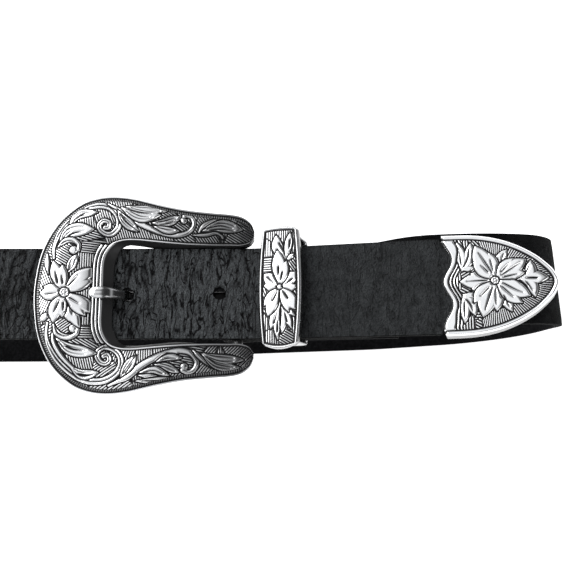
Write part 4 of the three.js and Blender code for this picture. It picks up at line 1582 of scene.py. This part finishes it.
    @staticmethod
    def axes(heading: Array, drift: Array, lean: Array) -> tuple[Array, Array]:
        """Directions across and out of the strap at each row.

        Ahead is (cos heading, drift, sin heading). Across is (sin lean, cos lean, 0) less its
        part along ahead. Out is ahead x across.

        Args:
            heading: Angle of the way from X, in radians.
            drift: Sideways slope of the way.
            lean: Angle of across from Y, in radians.

        Returns:
            Rows of unit vectors across and out.
        """
        ahead = np.stack([np.cos(heading), drift, np.sin(heading)], axis=1)
        ahead /= np.linalg.norm(ahead, axis=1)[:, None]
        across = np.stack([np.sin(lean), np.cos(lean), 0 * lean], axis=1)
        across -= ahead * (ahead * across).sum(1)[:, None]
        across /= np.linalg.norm(across, axis=1)[:, None]
        return across, np.cross(ahead, across)

    def build(self) -> Object:
        """Skins the strap, then punches its holes and the prong's slot.

        Returns:
            The strap's object.
        """
        way, aside = self.stretches()
        keep = self.rows_kept(way, aside[:, 0])
        drift = np.gradient(aside[:, 1], aside[:, 0])[keep]
        way, aside = way[keep], aside[keep]
        across, out = self.axes(np.radians(way[:, 2]), drift, np.radians(aside[:, 2]))
        section = self.section()
        reach = aside[:, 0]
        wide = np.repeat(self.width / 2, len(way))
        thick = np.ones(len(way))
        in_cap = reach - (reach[-1] - self.in_cap())
        capped = in_cap > 0
        narrow = tip_half_width(in_cap + self.cap_wall) - self.cap_wall
        wide = np.where(capped, np.minimum(wide, narrow), wide)
        thick = np.where(in_cap > -0.6, self.tip_leather / self.thickness, thick)
        across_at = section[None, :, 0] * (wide / (self.width / 2))[:, None]
        front = smooth(596, 604, reach)[:, None]
        height, marks = self.wrinkles(way[:, 0:1] + 0 * across_at, across_at, front + 0 * across_at)
        is_face = np.arange(len(section)) < self.face_points
        quiet_edge = smooth(16, 14.6, np.abs(across_at))
        dip = self.pucker(way[:, 0:1] + 0 * across_at, across_at) * front
        out_at = section[None, :, 1] * thick[:, None] + np.where(is_face, height * quiet_edge + dip, 0.0)
        middle = np.stack([way[:, 0], aside[:, 1], way[:, 1]], axis=1)
        rings = middle[:, None] + across[:, None] * across_at[..., None] + out[:, None] * out_at[..., None]
        marks = {name: np.where(is_face, values, 0.1) for name, values in marks.items()}
        strap = make_piece("strap_leather", self.belt.place(rings), self.finish, marks)
        self.line_inside(strap, len(way), len(section))
        self.punch(strap)
        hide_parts("strap")
        return strap

    def line_inside(self, strap: Object, rows: int, ring: int) -> None:
        """Gives the strap's back faces the inside finish.

        Args:
            strap: The strap's object.
            rows: Number of rings.
            ring: Points on each.
        """
        strap.data.materials.append(self.inside_finish)
        edge_points = (ring - self.face_points - self.back_points) // 2
        on_ring = np.arange(ring) - self.face_points - edge_points
        inside = (on_ring >= -1) & (on_ring < self.back_points)
        index = np.zeros(len(strap.data.polygons), np.int32)
        index[:(rows - 1) * ring] = np.tile(inside, rows - 1)
        strap.data.polygons.foreach_set("material_index", index)

    def pucker(self, x: Array, v: Array) -> Array:
        """Dish round each punched hole and the pull of the prong at the used one.

        Depth is a Gaussian of the distance to the hole's middle.

        Args:
            x: Distance along the belt.
            v: Distance across.

        Returns:
            Heights in millimetres.
        """
        total = np.zeros_like(x)
        for count in (1, 0, -1, -2, -3):
            apart = np.hypot(x - count * self.hole_pitch, v)
            total -= (0.4 if count <= 0 else 0.16) * np.exp(-((apart / 3.8) ** 2))
        return total

    def punch(self, strap: Object) -> None:
        """Cuts the free holes, the used hole's slanted way and the slot for the prong.

        Args:
            strap: The strap's object.
        """
        cutters = [self.cutter(count * self.hole_pitch, 0.0, 0.0) for count in (1, -1, -2, -3)]
        carve(strap, [*cutters, self.cutter(-1.2, self.prong_aside, 14.0), self.slot_cutter()])

    def cutter(self, x: float, y: float, slant: float) -> Object:
        """Round punch through the front layer, sheared along X for the prong.

        Args:
            x: Where its middle meets the leather's middle plane.
            y: Sideways place.
            slant: Angle from upright in degrees.

        Returns:
            The punch.
        """
        angle = np.linspace(0, 2 * np.pi, 48, endpoint=False)
        level = np.array([-1.72, 2.6])[:, None]
        radius = self.hole_diameter / 2 + (self.prong_play if slant else 0.0)
        px = x + radius * np.cos(angle)[None] - math.tan(math.radians(slant)) * level
        py = y + radius * np.sin(angle)[None] + 0 * level
        pz = self.belt.TOP_LEVEL + level + 0 * px
        return plain_solid(self.belt.place(np.stack([px, py, pz], axis=-1)))

    def slot_cutter(self) -> Object:
        """Round-ended slot through the fold and the layers beside it.

        Returns:
            The slot's solid.
        """
        outline = rounded_section(*self.slot, 48, 6.0)
        level = np.array(self.slot_levels)[:, None]
        px = self.bar[0] + outline[None, :, 0] + 0 * level
        py = self.prong_aside + outline[None, :, 1] + 0 * level
        return plain_solid(self.belt.place(np.stack([px, py, level + 0 * px], axis=-1)))


def plain_solid(rings: Array) -> Object:
    """A closed solid over rings, for cutting only.

    Args:
        rings: Ring points in metres.

    Returns:
        The solid's object.
    """
    rows, ring, _ = rings.shape
    mesh = bpy.data.meshes.new("cutter")
    caps = [list(range(ring))[::-1], list(range((rows - 1) * ring, rows * ring))]
    mesh.from_pydata(rings.reshape(-1, 3), [], ring_faces(rows, ring).tolist() + caps)
    turn_outwards(mesh)
    solid = bpy.data.objects.new("cutter", mesh)
    bpy.context.scene.collection.objects.link(solid)
    return solid


def carve(piece: Object, cutters: list[Object]) -> None:
    """Cuts solids out of a piece for good and removes them.

    Args:
        piece: The piece to cut.
        cutters: The solids.
    """
    depsgraph = bpy.context.evaluated_depsgraph_get()
    for cutter in cutters:
        modifier = piece.modifiers.new("cut", "BOOLEAN")
        modifier.operation = "DIFFERENCE"
        modifier.solver = "MANIFOLD"
        modifier.object = cutter
    bpy.context.view_layer.update()
    cut = bpy.data.meshes.new_from_object(piece.evaluated_get(depsgraph), depsgraph=depsgraph)
    piece.modifiers.clear()
    piece.data = cut
    cut.name = piece.name
    for cutter in cutters:
        bpy.data.objects.remove(cutter)


# Keeper

# The keeper's ground, forms and graver's lines, as for the C
KEEPER_PATCHES = (
    (-4.5, 12, 0), (5.5, 14, 0), (0, 18.8, 0), (4.6, 8, 35), (-4.6, 9, 90), (-5.6, 0, 20), (6.4, 0, 35),
    (-4.8, -12, 0), (3, -8, 20), (5.2, -13, 0), (1.8, -16.6, 60), (-2.6, -17, 0), (-2.4, -9, 40),
)
KEEPER_GROUPS = (
    [leaf(3.7, (2.2, 9.2), (-0.6, 13.2), (-1.2, 18)), leaf(2.6, (2.4, 9.2), (3.2, 14), (3.9, 18.6))],
    [leaf(1.5, (2.6, 8.8), (5.2, 11.2))],
    [leaf(3, (0.5, -4.6), (-1.6, -10), (-3.2, -14.4)), leaf(2.2, (0.3, -6.6), (-0.8, -13), (-0.6, -18)),
     leaf(2.1, (0.9, -6.6), (1.6, -11), (0.9, -15.8)), leaf(2.2, (1, -6.4), (3, -10.6), (4.3, -14.4)),
     leaf(1.5, (0.6, -5.6), (3, -8), (5.6, -10.2))],
    [petal(4.4, (0, 0), (-2.8, 2.2), (-5.6, 4.6)), petal(3.6, (0, 0), (-3, 0.4), (-5.6, 0.4))],
    [petal(4, (0.2, -0.2), (3.2, 2.2), (6.3, 4.8)), petal(2.6, (0.2, -0.4), (3.6, -0.4), (6.4, 0))],
    [petal(4.2, (-0.1, -0.4), (-2, -4.2), (-4.2, -10)), petal(3, (-0.1, -0.4), (-2.8, -3), (-5.6, -6.4))],
    [petal(4.3, (0.4, -0.4), (3, -3.6), (6.2, -8)), petal(3, (0.4, -0.4), (2, -4.4), (3.4, -8.8))],
    [petal(4.7, (0.2, 0.2), (0, 5.6), (-0.8, 12.6)), petal(3, (0.2, 0.2), (1.6, 4.4), (2.6, 8.8))],
)
KEEPER_CUTS = (
    line(0.6, (-0.2, 15.4), (0.8, 13.6), (2, 11.2)), line(0.5, (3.9, 16.4), (3.6, 13)),
    line(0.5, (-0.2, 7.2), (-0.2, 4)), line(0.45, (1.2, 5.2), (0.7, 2.2)),
    line(0.5, (4.8, 2.6), (2.4, 0.8)), line(0.5, (-4.4, 3.6), (-1.8, 1.2)),
    line(0.6, (-2.4, -4.8), (-0.6, -1.4)), line(0.6, (3.3, -4.4), (1.1, -1.2)),
    line(0.7, (0.6, -7.2), (0.5, -10.6), (0.3, -15)), line(0.45, (-1.9, -12.6), (-0.8, -8.8)),
    line(0.4, (2.9, -12.4), (2.1, -9)), line(0.4, (-0.6, -15.6), (-0.4, -11.6)),
)


@dataclass
class Keeper:
    """Cast loop round the stacked layers, tilted a little more than the strap."""

    belt: Belt
    finish: Material
    at_u: float = 5.9
    at_v: float = 1.4
    tilt: float = math.radians(5.0)
    half: float = 21.2
    middle: float = 7.6
    end: float = 6.3
    bulge: Pair = (1.3, 0.5)
    ground_soot: float = 0.45
    hatch_pitch: float = 0.8
    face_level: float = 2.5
    plate: float = 2.3
    relief: float = 0.5
    rim: float = 1.2
    inside: float = 17.6
    wall: float = 1.4
    leg: float = 5.4
    back_level: float = 10.3
    corner: float = 2.2
    rows: int = 330
    columns: int = 132

    def place(self, x: Array, y: Array, z: Array) -> Array:
        """Points in the keeper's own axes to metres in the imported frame.

        Args:
            x: Along its face.
            y: Across the strap.
            z: Out of the strap.

        Returns:
            Rows of x, y, z.
        """
        c, s = math.cos(self.tilt), math.sin(self.tilt)
        return self.belt.place(self.belt.on_rise(self.at_u + x * c - z * s, y + self.at_v, x * s + z * c))

    def face(self) -> Object:
        """Barrel-shaped face: half width middle (1 - b^2) + end b^2 at share b of its length.

        Returns:
            The face's object.
        """
        b = np.linspace(-1, 1, self.rows)[:, None]
        a = np.linspace(-1, 1, self.columns)[None, :]
        across = self.end + (self.middle - self.end) * (1 - b**2)
        corner = 1 - 0.16 * smooth(0.93, 1.0, np.abs(b)) ** 1.6
        x = a * across * corner
        bulge = np.where(b < 0, *self.bulge)
        y = b * (self.half - bulge * a**2)
        end_gap = (self.half - bulge * a**2) * (1 - np.abs(b))
        side_gap = across * corner * (1 - np.abs(a))
        gap = np.minimum(side_gap, end_gap)
        relief = self.ornament(x, y, gap)
        crown = 0.45 * (1 - a**2) * (1 - b**4)
        rounding = 0.7 * smooth(0.9, 0.0, gap) ** 2
        carved = self.relief * relief.height().reshape(x.shape)
        top = self.face_level + self.plate - 0.45 + crown + carved - rounding
        low = np.linspace(0.2, 1, 5)[None, :]
        right = [x[:, -1:] + 0 * low, y[:, -1:] + 0 * low, top[:, -1:] * (1 - low) + self.face_level * low]
        under = np.linspace(1, -1, 7)[None, :]
        flat = self.face_level + 0 * b + 0 * under
        below = [x[:, -1:] * under, b * (self.half - bulge) + 0 * under, flat]
        rising = (top[:, :1] * (1 - low) + self.face_level * low)[:, ::-1]
        left = [x[:, :1] + 0 * low, y[:, :1] + 0 * low, rising]
        stacked = [np.concatenate(parts, axis=1) for parts in zip([x, y, top], right, below, left)]
        # Painted shade: the right side wall is blackened more than the left wall and the underside
        marks = relief.marks(x.shape, [(low.size, 0.75), (under.size, 0.4), (low.size, 0.3)])
        return make_piece("keeper_face", self.place(*stacked), self.finish, marks)

    def ornament(self, x: Array, y: Array, gap: Array) -> Relief:
        """Hatched ground, flower, leaves and rim.

        Args:
            x: Place of each point along the face's width.
            y: Its place across the strap.
            gap: Its distance from the face's edge.

        Returns:
            The carved relief.
        """
        relief = Relief(x.ravel(), y.ravel())
        relief.hatch(np.array(KEEPER_PATCHES), self.hatch_pitch)
        for strokes in KEEPER_GROUPS:
            relief.raise_group(strokes)
        relief.cut(list(KEEPER_CUTS))
        relief.raise_group([ball(1.6, 0.1, -0.1)])
        relief.soot = self.ground_soot * smooth(0.2, -0.2, relief.form)
        relief.band(gap.ravel(), -0.5, self.rim)
        return relief

    def loop(self) -> Object:
        """Flat band down one side, across the back and up the other, with round corners.

        Returns:
            The band's object.
        """
        out = self.inside + self.wall / 2
        deep = -self.back_level - self.wall / 2
        corner, high = self.corner, self.face_level + 0.5
        side, bottom = out - corner, deep + corner
        quarter = np.linspace(0, np.pi / 2, 12)
        down = [(out, z) for z in np.linspace(high, bottom, 20)]
        first = [(side + corner * math.cos(q), bottom - corner * math.sin(q)) for q in quarter]
        flat = [(y, deep) for y in np.linspace(side, corner - out, 30)]
        second = [(-side - corner * math.sin(q), bottom - corner * math.cos(q)) for q in quarter]
        up = [(-out, z) for z in np.linspace(bottom, high, 20)]
        route = evenly(np.array(down + first + flat + second + up), 110)
        way = np.gradient(route, axis=0)
        way /= np.linalg.norm(way, axis=1)[:, None]
        section = rounded_section(2 * self.leg, self.wall, 30, 5.0)
        x = section[None, :, 0] + 0 * route[:, :1]
        y = route[:, 0:1] + way[:, 1:2] * section[None, :, 1]
        z = route[:, 1:2] - way[:, 0:1] * section[None, :, 1]
        marks = plain_marks(x.shape, 0.55)
        return make_piece("keeper_band", self.place(x, y, z), self.finish, marks)

    def build(self) -> Object:
        """Joins face and band.

        Returns:
            The keeper's object.
        """
        keeper = join_pieces([self.face(), self.loop()])
        keeper.name = "keeper_casting"
        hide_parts("keeper")
        return keeper


# Metal tip

# Half outline of the tip: distance from its cut end, and half width there
TIP_SIDE = np.array([(0, 16.5), (10, 16.1), (17.3, 14.7), (23.3, 12.4), (28.6, 9.3), (32, 6.4), (34.5, 3.5),
                     (35.8, 0)])


def tip_half_width(u: Array) -> Array:
    """Half width of the tip's outline at distances from its cut end, by straight lines."""
    return np.interp(u, TIP_SIDE[:, 0], TIP_SIDE[:, 1])


# The tip's ground, forms and graver's lines, as for the C
TIP_PATCHES = (
    (13, 12.8, 40), (15, -11.5, 60), (11.5, -7, 90), (9.6, 6.5, 0), (9, -2.6, 60), (9, 3, -60), (5, 11, 0),
    (5, -11, 0), (3.4, 1, 0), (20, 1, 80),
)
TIP_GROUPS = (
    # tulips by the cut end
    [petal(3.2, (6.2, 4.2), (8.6, 8), (9.3, 13.4)), petal(2.8, (6.2, 4.2), (6.2, 9), (4.9, 13.9)),
     leaf(1.6, (6.4, 4.6), (10, 5.4))],
    [petal(3, (6.4, -3.4), (8.8, -6.2), (9.9, -10.2)), petal(2.6, (6.4, -3.4), (6.9, -8.2), (6.6, -12.6)),
     leaf(1.6, (6.2, -3.4), (10.9, -3.8))],
    # trefoil
    [stem(1.3, (19, 1), (24.6, 1.3)), petal(3.2, (24, 1.4), (27.2, 2.8), (27.5, 7)),
     petal(3.8, (24, 1.2), (28.5, 1.4), (32.8, 1.2)), petal(3, (24, 1), (27.4, -0.6), (28.4, -4.8))],
    # small leaves
    [leaf(2.9, (16.8, 4), (18.4, 7.8), (20.5, 10.8))],
    [leaf(2.9, (18.1, -2.2), (19.6, -5.8), (21.2, -9.2))],
    # petals
    [petal(4.6, (16, 1), (11, 0.9), (5.6, 0.8)), leaf(2.6, (14, 1.6), (9, 3.4)),
     leaf(2.4, (14, 0.2), (9.2, -1.8))],
    [petal(5.6, (16.2, 1.2), (13.4, 6.5), (10.6, 12.4)), petal(4.2, (15.9, 1.3), (12.8, 4.6), (10, 7)),
     petal(3.8, (16.3, 1.4), (15.7, 6.2), (14.8, 10))],
    [petal(4.8, (16.8, 1.3), (21.6, 4.6), (26.2, 7.4)), petal(3.6, (16.9, 1.2), (21.8, 2.8), (25.6, 3)),
     petal(3.4, (16.8, 1.7), (19.8, 5.4), (22.4, 7.8))],
    [petal(5.4, (16.1, 0.8), (14, -4.8), (12.3, -10.8)), petal(4.2, (15.8, 0.7), (12.4, -3), (9.7, -6)),
     petal(3.8, (16.3, 0.6), (16.8, -4.6), (16.6, -9))],
    [petal(4.6, (16.8, 0.8), (21.6, -1.6), (27, -4.4)),
     petal(3.6, (16.8, 0.6), (20.4, -3.8), (24.4, -6.6)), leaf(2.2, (19, 0.3), (24.4, -0.8))],
)
TIP_CUTS = (
    line(0.45, (15.7, 3), (13.4, 7.2), (11.8, 10)), line(0.4, (14.5, 3.4), (12.4, 5.8)),
    line(0.4, (15.9, 4), (15.4, 7.6)), line(0.45, (18.4, 2.5), (22, 4.8), (24.4, 6.3)),
    line(0.4, (19, 1.8), (23.4, 2.7)), line(0.4, (18.4, 3.6), (21, 6.2)),
    line(0.45, (18.6, 0.1), (22.4, -2.2), (24.8, -3.3)), line(0.4, (18.2, -1), (21.8, -4.6)),
    line(0.45, (15.7, -1), (14.3, -5), (13.2, -8.4)), line(0.4, (14.6, -1.2), (11.8, -4)),
    line(0.4, (16.5, -1.6), (16.6, -6.6)), line(0.45, (14.2, 1), (10.6, 0.95), (7.8, 0.85)),
    line(0.7, (29.4, 1.2), (26, 1.3)), line(0.4, (25.6, 2.4), (27.1, 5.2)),
    line(0.4, (25.8, 0.2), (27.7, -2.8)), line(0.45, (6.9, 5.6), (8.4, 8.6), (8.9, 11.4)),
    line(0.4, (6.2, 6.2), (5.5, 11.6)), line(0.45, (7.2, -4.8), (8.6, -6.8), (9.3, -8.8)),
    line(0.4, (6.7, -5.6), (6.7, -10.6)), line(0.4, (17.7, 5.8), (19.6, 9.2)),
    line(0.4, (18.7, -3.9), (20.5, -7.6)),
)


@dataclass
class Tip:
    """Cast cap over the strap's end."""

    belt: Belt
    finish: Material
    at_u: float = 59.6
    heart: Pair = (16.4, 0.9)
    pocket: float = 1.55
    pocket_half: float = 15.25
    back: float = 1.0
    top: float = 3.05
    dome: float = 0.5
    relief: float = 0.42
    wall: float = 1.3
    flare: float = 0.45
    wave: Triple = (1.4, 0.9, 7.4)
    cut_rim: Pair = (1.8, 3.6)
    side_rim: float = 1.3
    wavy_lines: Pair = (0.55, 1.65)
    line_width: float = 0.45
    hatch_pitch: float = 0.88
    rays: Triple = (0.6, 18.0, 12.0)
    innermost: float = 0.01
    rows: int = 132
    side_points: int = 410
    cut_points: int = 170

    def left_edge(self, v: Array) -> Array:
        """Scalloped cut end: depth (1 - cos(pi (v - at) / half wave))."""
        depth, at, half_wave = self.wave
        return depth * (1 - np.cos(np.pi * (v - at) / half_wave))

    def outline(self) -> tuple[Array, Array]:
        """The cap's outline, from the upper corner round the nose and up the scalloped end.

        Returns:
            Rows of u and v along the curved side, then along the cut end.
        """
        lower = TIP_SIDE[-2::-1] * np.array([1, -1])
        side = np.vstack([TIP_SIDE, lower]).astype(float)
        side[[0, -1], 0] = self.left_edge(side[[0, -1], 1])
        across = np.linspace(side[-1, 1], side[0, 1], 400)
        cut = np.stack([self.left_edge(across), across], axis=1)
        side = evenly(through(side, np.linspace(0, 1, 1200)), self.side_points + 1)[:-1]
        return side, evenly(cut, self.cut_points + 1)[:-1]

    def build(self) -> Object:
        """Skins the cap in loops round it: face, wall and back, then cuts the leather's pocket.

        A face loop at share r lies at heart + r (outline - heart).

        Returns:
            The tip's object.
        """
        side, cut = self.outline()
        loop = np.vstack([side, cut])
        heart = np.array(self.heart)
        r = np.linspace(self.innermost, 1, self.rows)[:, None, None]
        face = heart + r * (loop - heart)
        u, v = face[..., 0], face[..., 1]
        gap, cut_gap = self.gap_to_side(u, v, side), u - self.left_edge(v)
        relief = self.ornament(face, loop, gap, cut_gap)
        inner = np.minimum(gap, cut_gap)
        rounding = 0.8 * smooth(0.9, 0.0, inner) ** 2
        top = self.top + self.dome * smooth(0.0, 6.0, inner) - rounding
        top += self.relief * relief.height().reshape(u.shape)
        floor = -self.pocket - self.back
        low = np.linspace(0.15, 1, 7)[:, None]
        way = np.roll(side, -1, axis=0) - np.roll(side, 1, axis=0)
        outward = np.stack([-way[:, 1], way[:, 0]], axis=1) / np.linalg.norm(way, axis=1)[:, None]
        outward[[0, -1]] = outward[[1, -2]]
        outward = np.vstack([outward, np.zeros_like(cut)])
        walls = loop + self.flare * low[..., None] * outward
        wall_n = top[-1:] * (1 - low) + floor * low
        behind = heart + np.linspace(1, 0.02, 9)[1:, None, None] * (walls[-1] - heart)
        rings_uv = np.concatenate([face, walls, behind])
        n = np.concatenate([top, wall_n, np.full(behind.shape[:2], floor)])
        rings = self.belt.on_rise(self.at_u + rings_uv[..., 0], rings_uv[..., 1], n)
        # Painted shade: the cap's wall and back are blackened
        marks = relief.marks(u.shape, [(len(low) + len(behind), 0.8)], axis=0)
        tip = make_piece("tip_casting", self.belt.place(rings), self.finish, marks)
        carve(tip, [self.pocket_cutter()])
        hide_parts("tip")
        return tip

    def pocket_cutter(self) -> Object:
        """Room for the leather: the outline moved in by the wall, open at the cut end.

        Returns:
            The pocket's solid.
        """
        u = np.linspace(-3.0, TIP_SIDE[-1, 0] - self.wall, 90)
        half = np.maximum(tip_half_width(np.maximum(u, 0) + self.wall) - self.wall, 0.05)
        half = np.minimum(self.pocket_half, half)
        ring_u = np.concatenate([u, u[::-1]])
        ring_v = np.concatenate([-half, half[::-1]])
        level = np.array([-self.pocket, self.pocket])[:, None]
        u_at = self.at_u + ring_u[None] + 0 * level
        rings = self.belt.on_rise(u_at, ring_v[None] + 0 * level, level + 0 * ring_u)
        return plain_solid(self.belt.place(rings))

    def gap_to_side(self, u: Array, v: Array, side: Array) -> Array:
        """Distance of points from the curved side, by its nearest chord.

        Args:
            u: Distance from the cut end.
            v: Distance from the axis.
            side: Rows of u and v along the side.

        Returns:
            Distances in millimetres.
        """
        gap = np.full(u.shape, 99.0)
        knots = side[::3]
        for start, stop in zip(knots[:-1], knots[1:]):
            way = stop - start
            share = np.clip(((u - start[0]) * way[0] + (v - start[1]) * way[1]) / (way @ way), 0, 1)
            gap = np.minimum(gap, np.hypot(u - start[0] - share * way[0], v - start[1] - share * way[1]))
        return gap

    def ornament(self, face: Array, loop: Array, gap: Array, cut_gap: Array) -> Relief:
        """Hatched ground, flower, trefoil, tulips, broad rim and wavy lines.

        Near the curved side the ground's lines are rays from the heart, counted by the distance
        round the outline. rays holds the share of the way out where they start, a scale that
        turns shares into millimetres, and the least distance from the cut end.

        Args:
            face: Loops of u and v.
            loop: The outline's u and v.
            gap: Distance from the curved side.
            cut_gap: Distance from the scalloped end.

        Returns:
            The carved relief.
        """
        relief = Relief(face[..., 0].ravel(), face[..., 1].ravel())
        relief.hatch(np.array(TIP_PATCHES), self.hatch_pitch)
        steps = np.linalg.norm(np.diff(loop, axis=0, append=loop[:1]), axis=1)
        share = np.broadcast_to(np.linspace(self.innermost, 1, self.rows)[:, None], gap.shape).ravel()
        reach = np.broadcast_to(np.cumsum(steps)[None], gap.shape).ravel()
        start, scale, least = self.rays
        seam = np.minimum((share - start) * scale, relief.x - least)
        relief.cycle = np.where(seam > 0, reach / self.hatch_pitch, relief.cycle)
        relief.ground = np.where(seam > 0, relief.FAR, relief.ground)
        relief.ground = np.minimum(relief.ground, np.abs(seam) - relief.PATCH_CUT)
        flat, cut_flat = gap.ravel(), cut_gap.ravel()
        narrow, broad = self.cut_rim
        rim = narrow + (broad - narrow) * smooth(8.0, 13.0, np.abs(relief.y))
        for start in self.wavy_lines:
            relief.band(cut_flat, rim + start, rim + start + self.line_width)
        for strokes in TIP_GROUPS:
            relief.raise_group(strokes)
        relief.cut(list(TIP_CUTS))
        relief.raise_group([ball(2.2, *self.heart)])
        relief.cut([ball(0.42, *spot) for spot in ring_of_dots(self.heart, 0.6)])
        relief.band(cut_flat, -0.5, rim)
        relief.band(flat, -0.5, self.side_rim)
        return relief


# Studio


@dataclass
class Studio:
    """Floor, soft light and the camera at the photograph's angle."""

    belt: Belt
    picture_size: int = 580
    focal_pixels: float = 717.0
    distance: float = 250.0
    tilt: float = math.radians(9.5)
    aim: Triple = (55.0, 1.4, 60.0)
    light_aim: Triple = (0.05, 0.0, 0.06)
    tint: Triple = (0.97, 0.985, 1.0)
    low_wall: float = 0.3
    ceiling: float = 0.97
    rising: Pair = (0.0, 0.75)
    dark_side: float = 0.08
    dark_edge: Pair = (-0.04, 0.18)
    horizon: float = 1.0
    horizon_edge: Pair = (0.22, 0.55)
    panels: tuple[tuple[str, Triple, float, float], ...] = (
        ("key", (-0.95, 0.5, 0.62), 1.2, 19.0),
        ("fill", (0.75, -0.55, 0.8), 0.5, 1.4),
    )

    def camera(self) -> None:
        """Puts the camera over the belt, leaned towards the near side."""
        data = bpy.data.cameras.new("camera")
        data.sensor_width = 36.0
        data.lens = self.focal_pixels / self.picture_size * data.sensor_width
        data.clip_start, data.clip_end = 0.01, 20.0
        camera = bpy.data.objects.new("camera", data)
        back = np.array([0.0, -math.sin(self.tilt), math.cos(self.tilt)])
        spot = self.belt.place(np.array(self.aim) + self.distance * back)
        camera.matrix_world = Matrix.Translation(Vector(spot)) @ Matrix.Rotation(self.tilt, 4, "X")
        bpy.context.scene.collection.objects.link(camera)
        bpy.context.scene.camera = camera

    def floor(self) -> None:
        """A plain pale floor."""
        mesh = bpy.data.meshes.new("floor")
        mesh.from_pydata([(-4, -4, 0), (4, -4, 0), (4, 4, 0), (-4, 4, 0)], [], [(0, 1, 2, 3)])
        mesh.materials.append(StudioWhite().material())
        floor = bpy.data.objects.new("floor", mesh)
        bpy.context.scene.collection.objects.link(floor)

    def room(self) -> None:
        """Pale room, paler towards its ceiling, whose ceiling is dark right of the camera.

        Brightness rises with the direction's height, from low_wall to ceiling over rising. It is
        then multiplied by the greater of two factors: one falls with the direction's X from 1 to
        dark_side over dark_edge, the other with its height from horizon to 0 over horizon_edge.
        """
        world = bpy.data.worlds.new("room")
        world.use_nodes = True
        work = NodeWork(world.node_tree)
        direction = work.add("ShaderNodeTexCoord", {}).outputs["Generated"]
        split = work.add("ShaderNodeSeparateXYZ", {"Vector": direction}).outputs
        walls = work.mapped(split["Z"], self.rising, (self.low_wall, self.ceiling))
        aside = work.mapped(split["X"], self.dark_edge, (1.0, self.dark_side))
        low = work.mapped(split["Z"], self.horizon_edge, (self.horizon, 0.0))
        light = work.calculate("MULTIPLY", walls, work.calculate("MAXIMUM", aside, low))
        work.wire(work.nodes["Background"], {"Color": self.tint, "Strength": light})
        bpy.context.scene.world = world

    def lights(self) -> None:
        """Soft square panels, aimed at the buckle."""
        for name, spot, size, power in self.panels:
            data = bpy.data.lights.new(name, "AREA")
            data.shape = "SQUARE"
            data.size = size
            data.energy = power
            lamp = bpy.data.objects.new(name, data)
            turn = (Vector(self.light_aim) - Vector(spot)).to_track_quat("-Z", "Y")
            lamp.matrix_world = Matrix.Translation(Vector(spot)) @ turn.to_matrix().to_4x4()
            bpy.context.scene.collection.objects.link(lamp)

    def build(self) -> None:
        """Sets the whole studio and the plain view transform."""
        self.camera()
        self.floor()
        self.room()
        self.lights()
        bpy.context.scene.view_settings.view_transform = "Standard"


def main() -> None:
    """Builds and dresses each sub-assembly in order."""
    logging.basicConfig(level=logging.INFO, format="%(message)s")
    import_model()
    belt = Belt()
    wear = fine_wear_group()
    silver = AntiqueSilver(wear).material()
    leather = BlackLeather().material()
    steel = PlainSteel(wear).material()
    Studio(belt).build()
    frame = BuckleFrame(belt, silver)
    builders = {
        "buckle frame": frame,
        "prong": Prong(belt, silver, frame),
        "strap": Strap(belt, leather, LeatherInside().material()),
        "keeper": Keeper(belt, silver),
        "tip": Tip(belt, silver),
    }
    for name, builder in builders.items():
        piece = builder.build()
        log.info("%s: %d faces", name, len(piece.data.polygons))
    for name in ("rivet_1", "rivet_2"):
        rivet = bpy.data.objects[name]
        for slot in rivet.material_slots:
            slot.material = steel


if __name__ == "__main__":
    main()
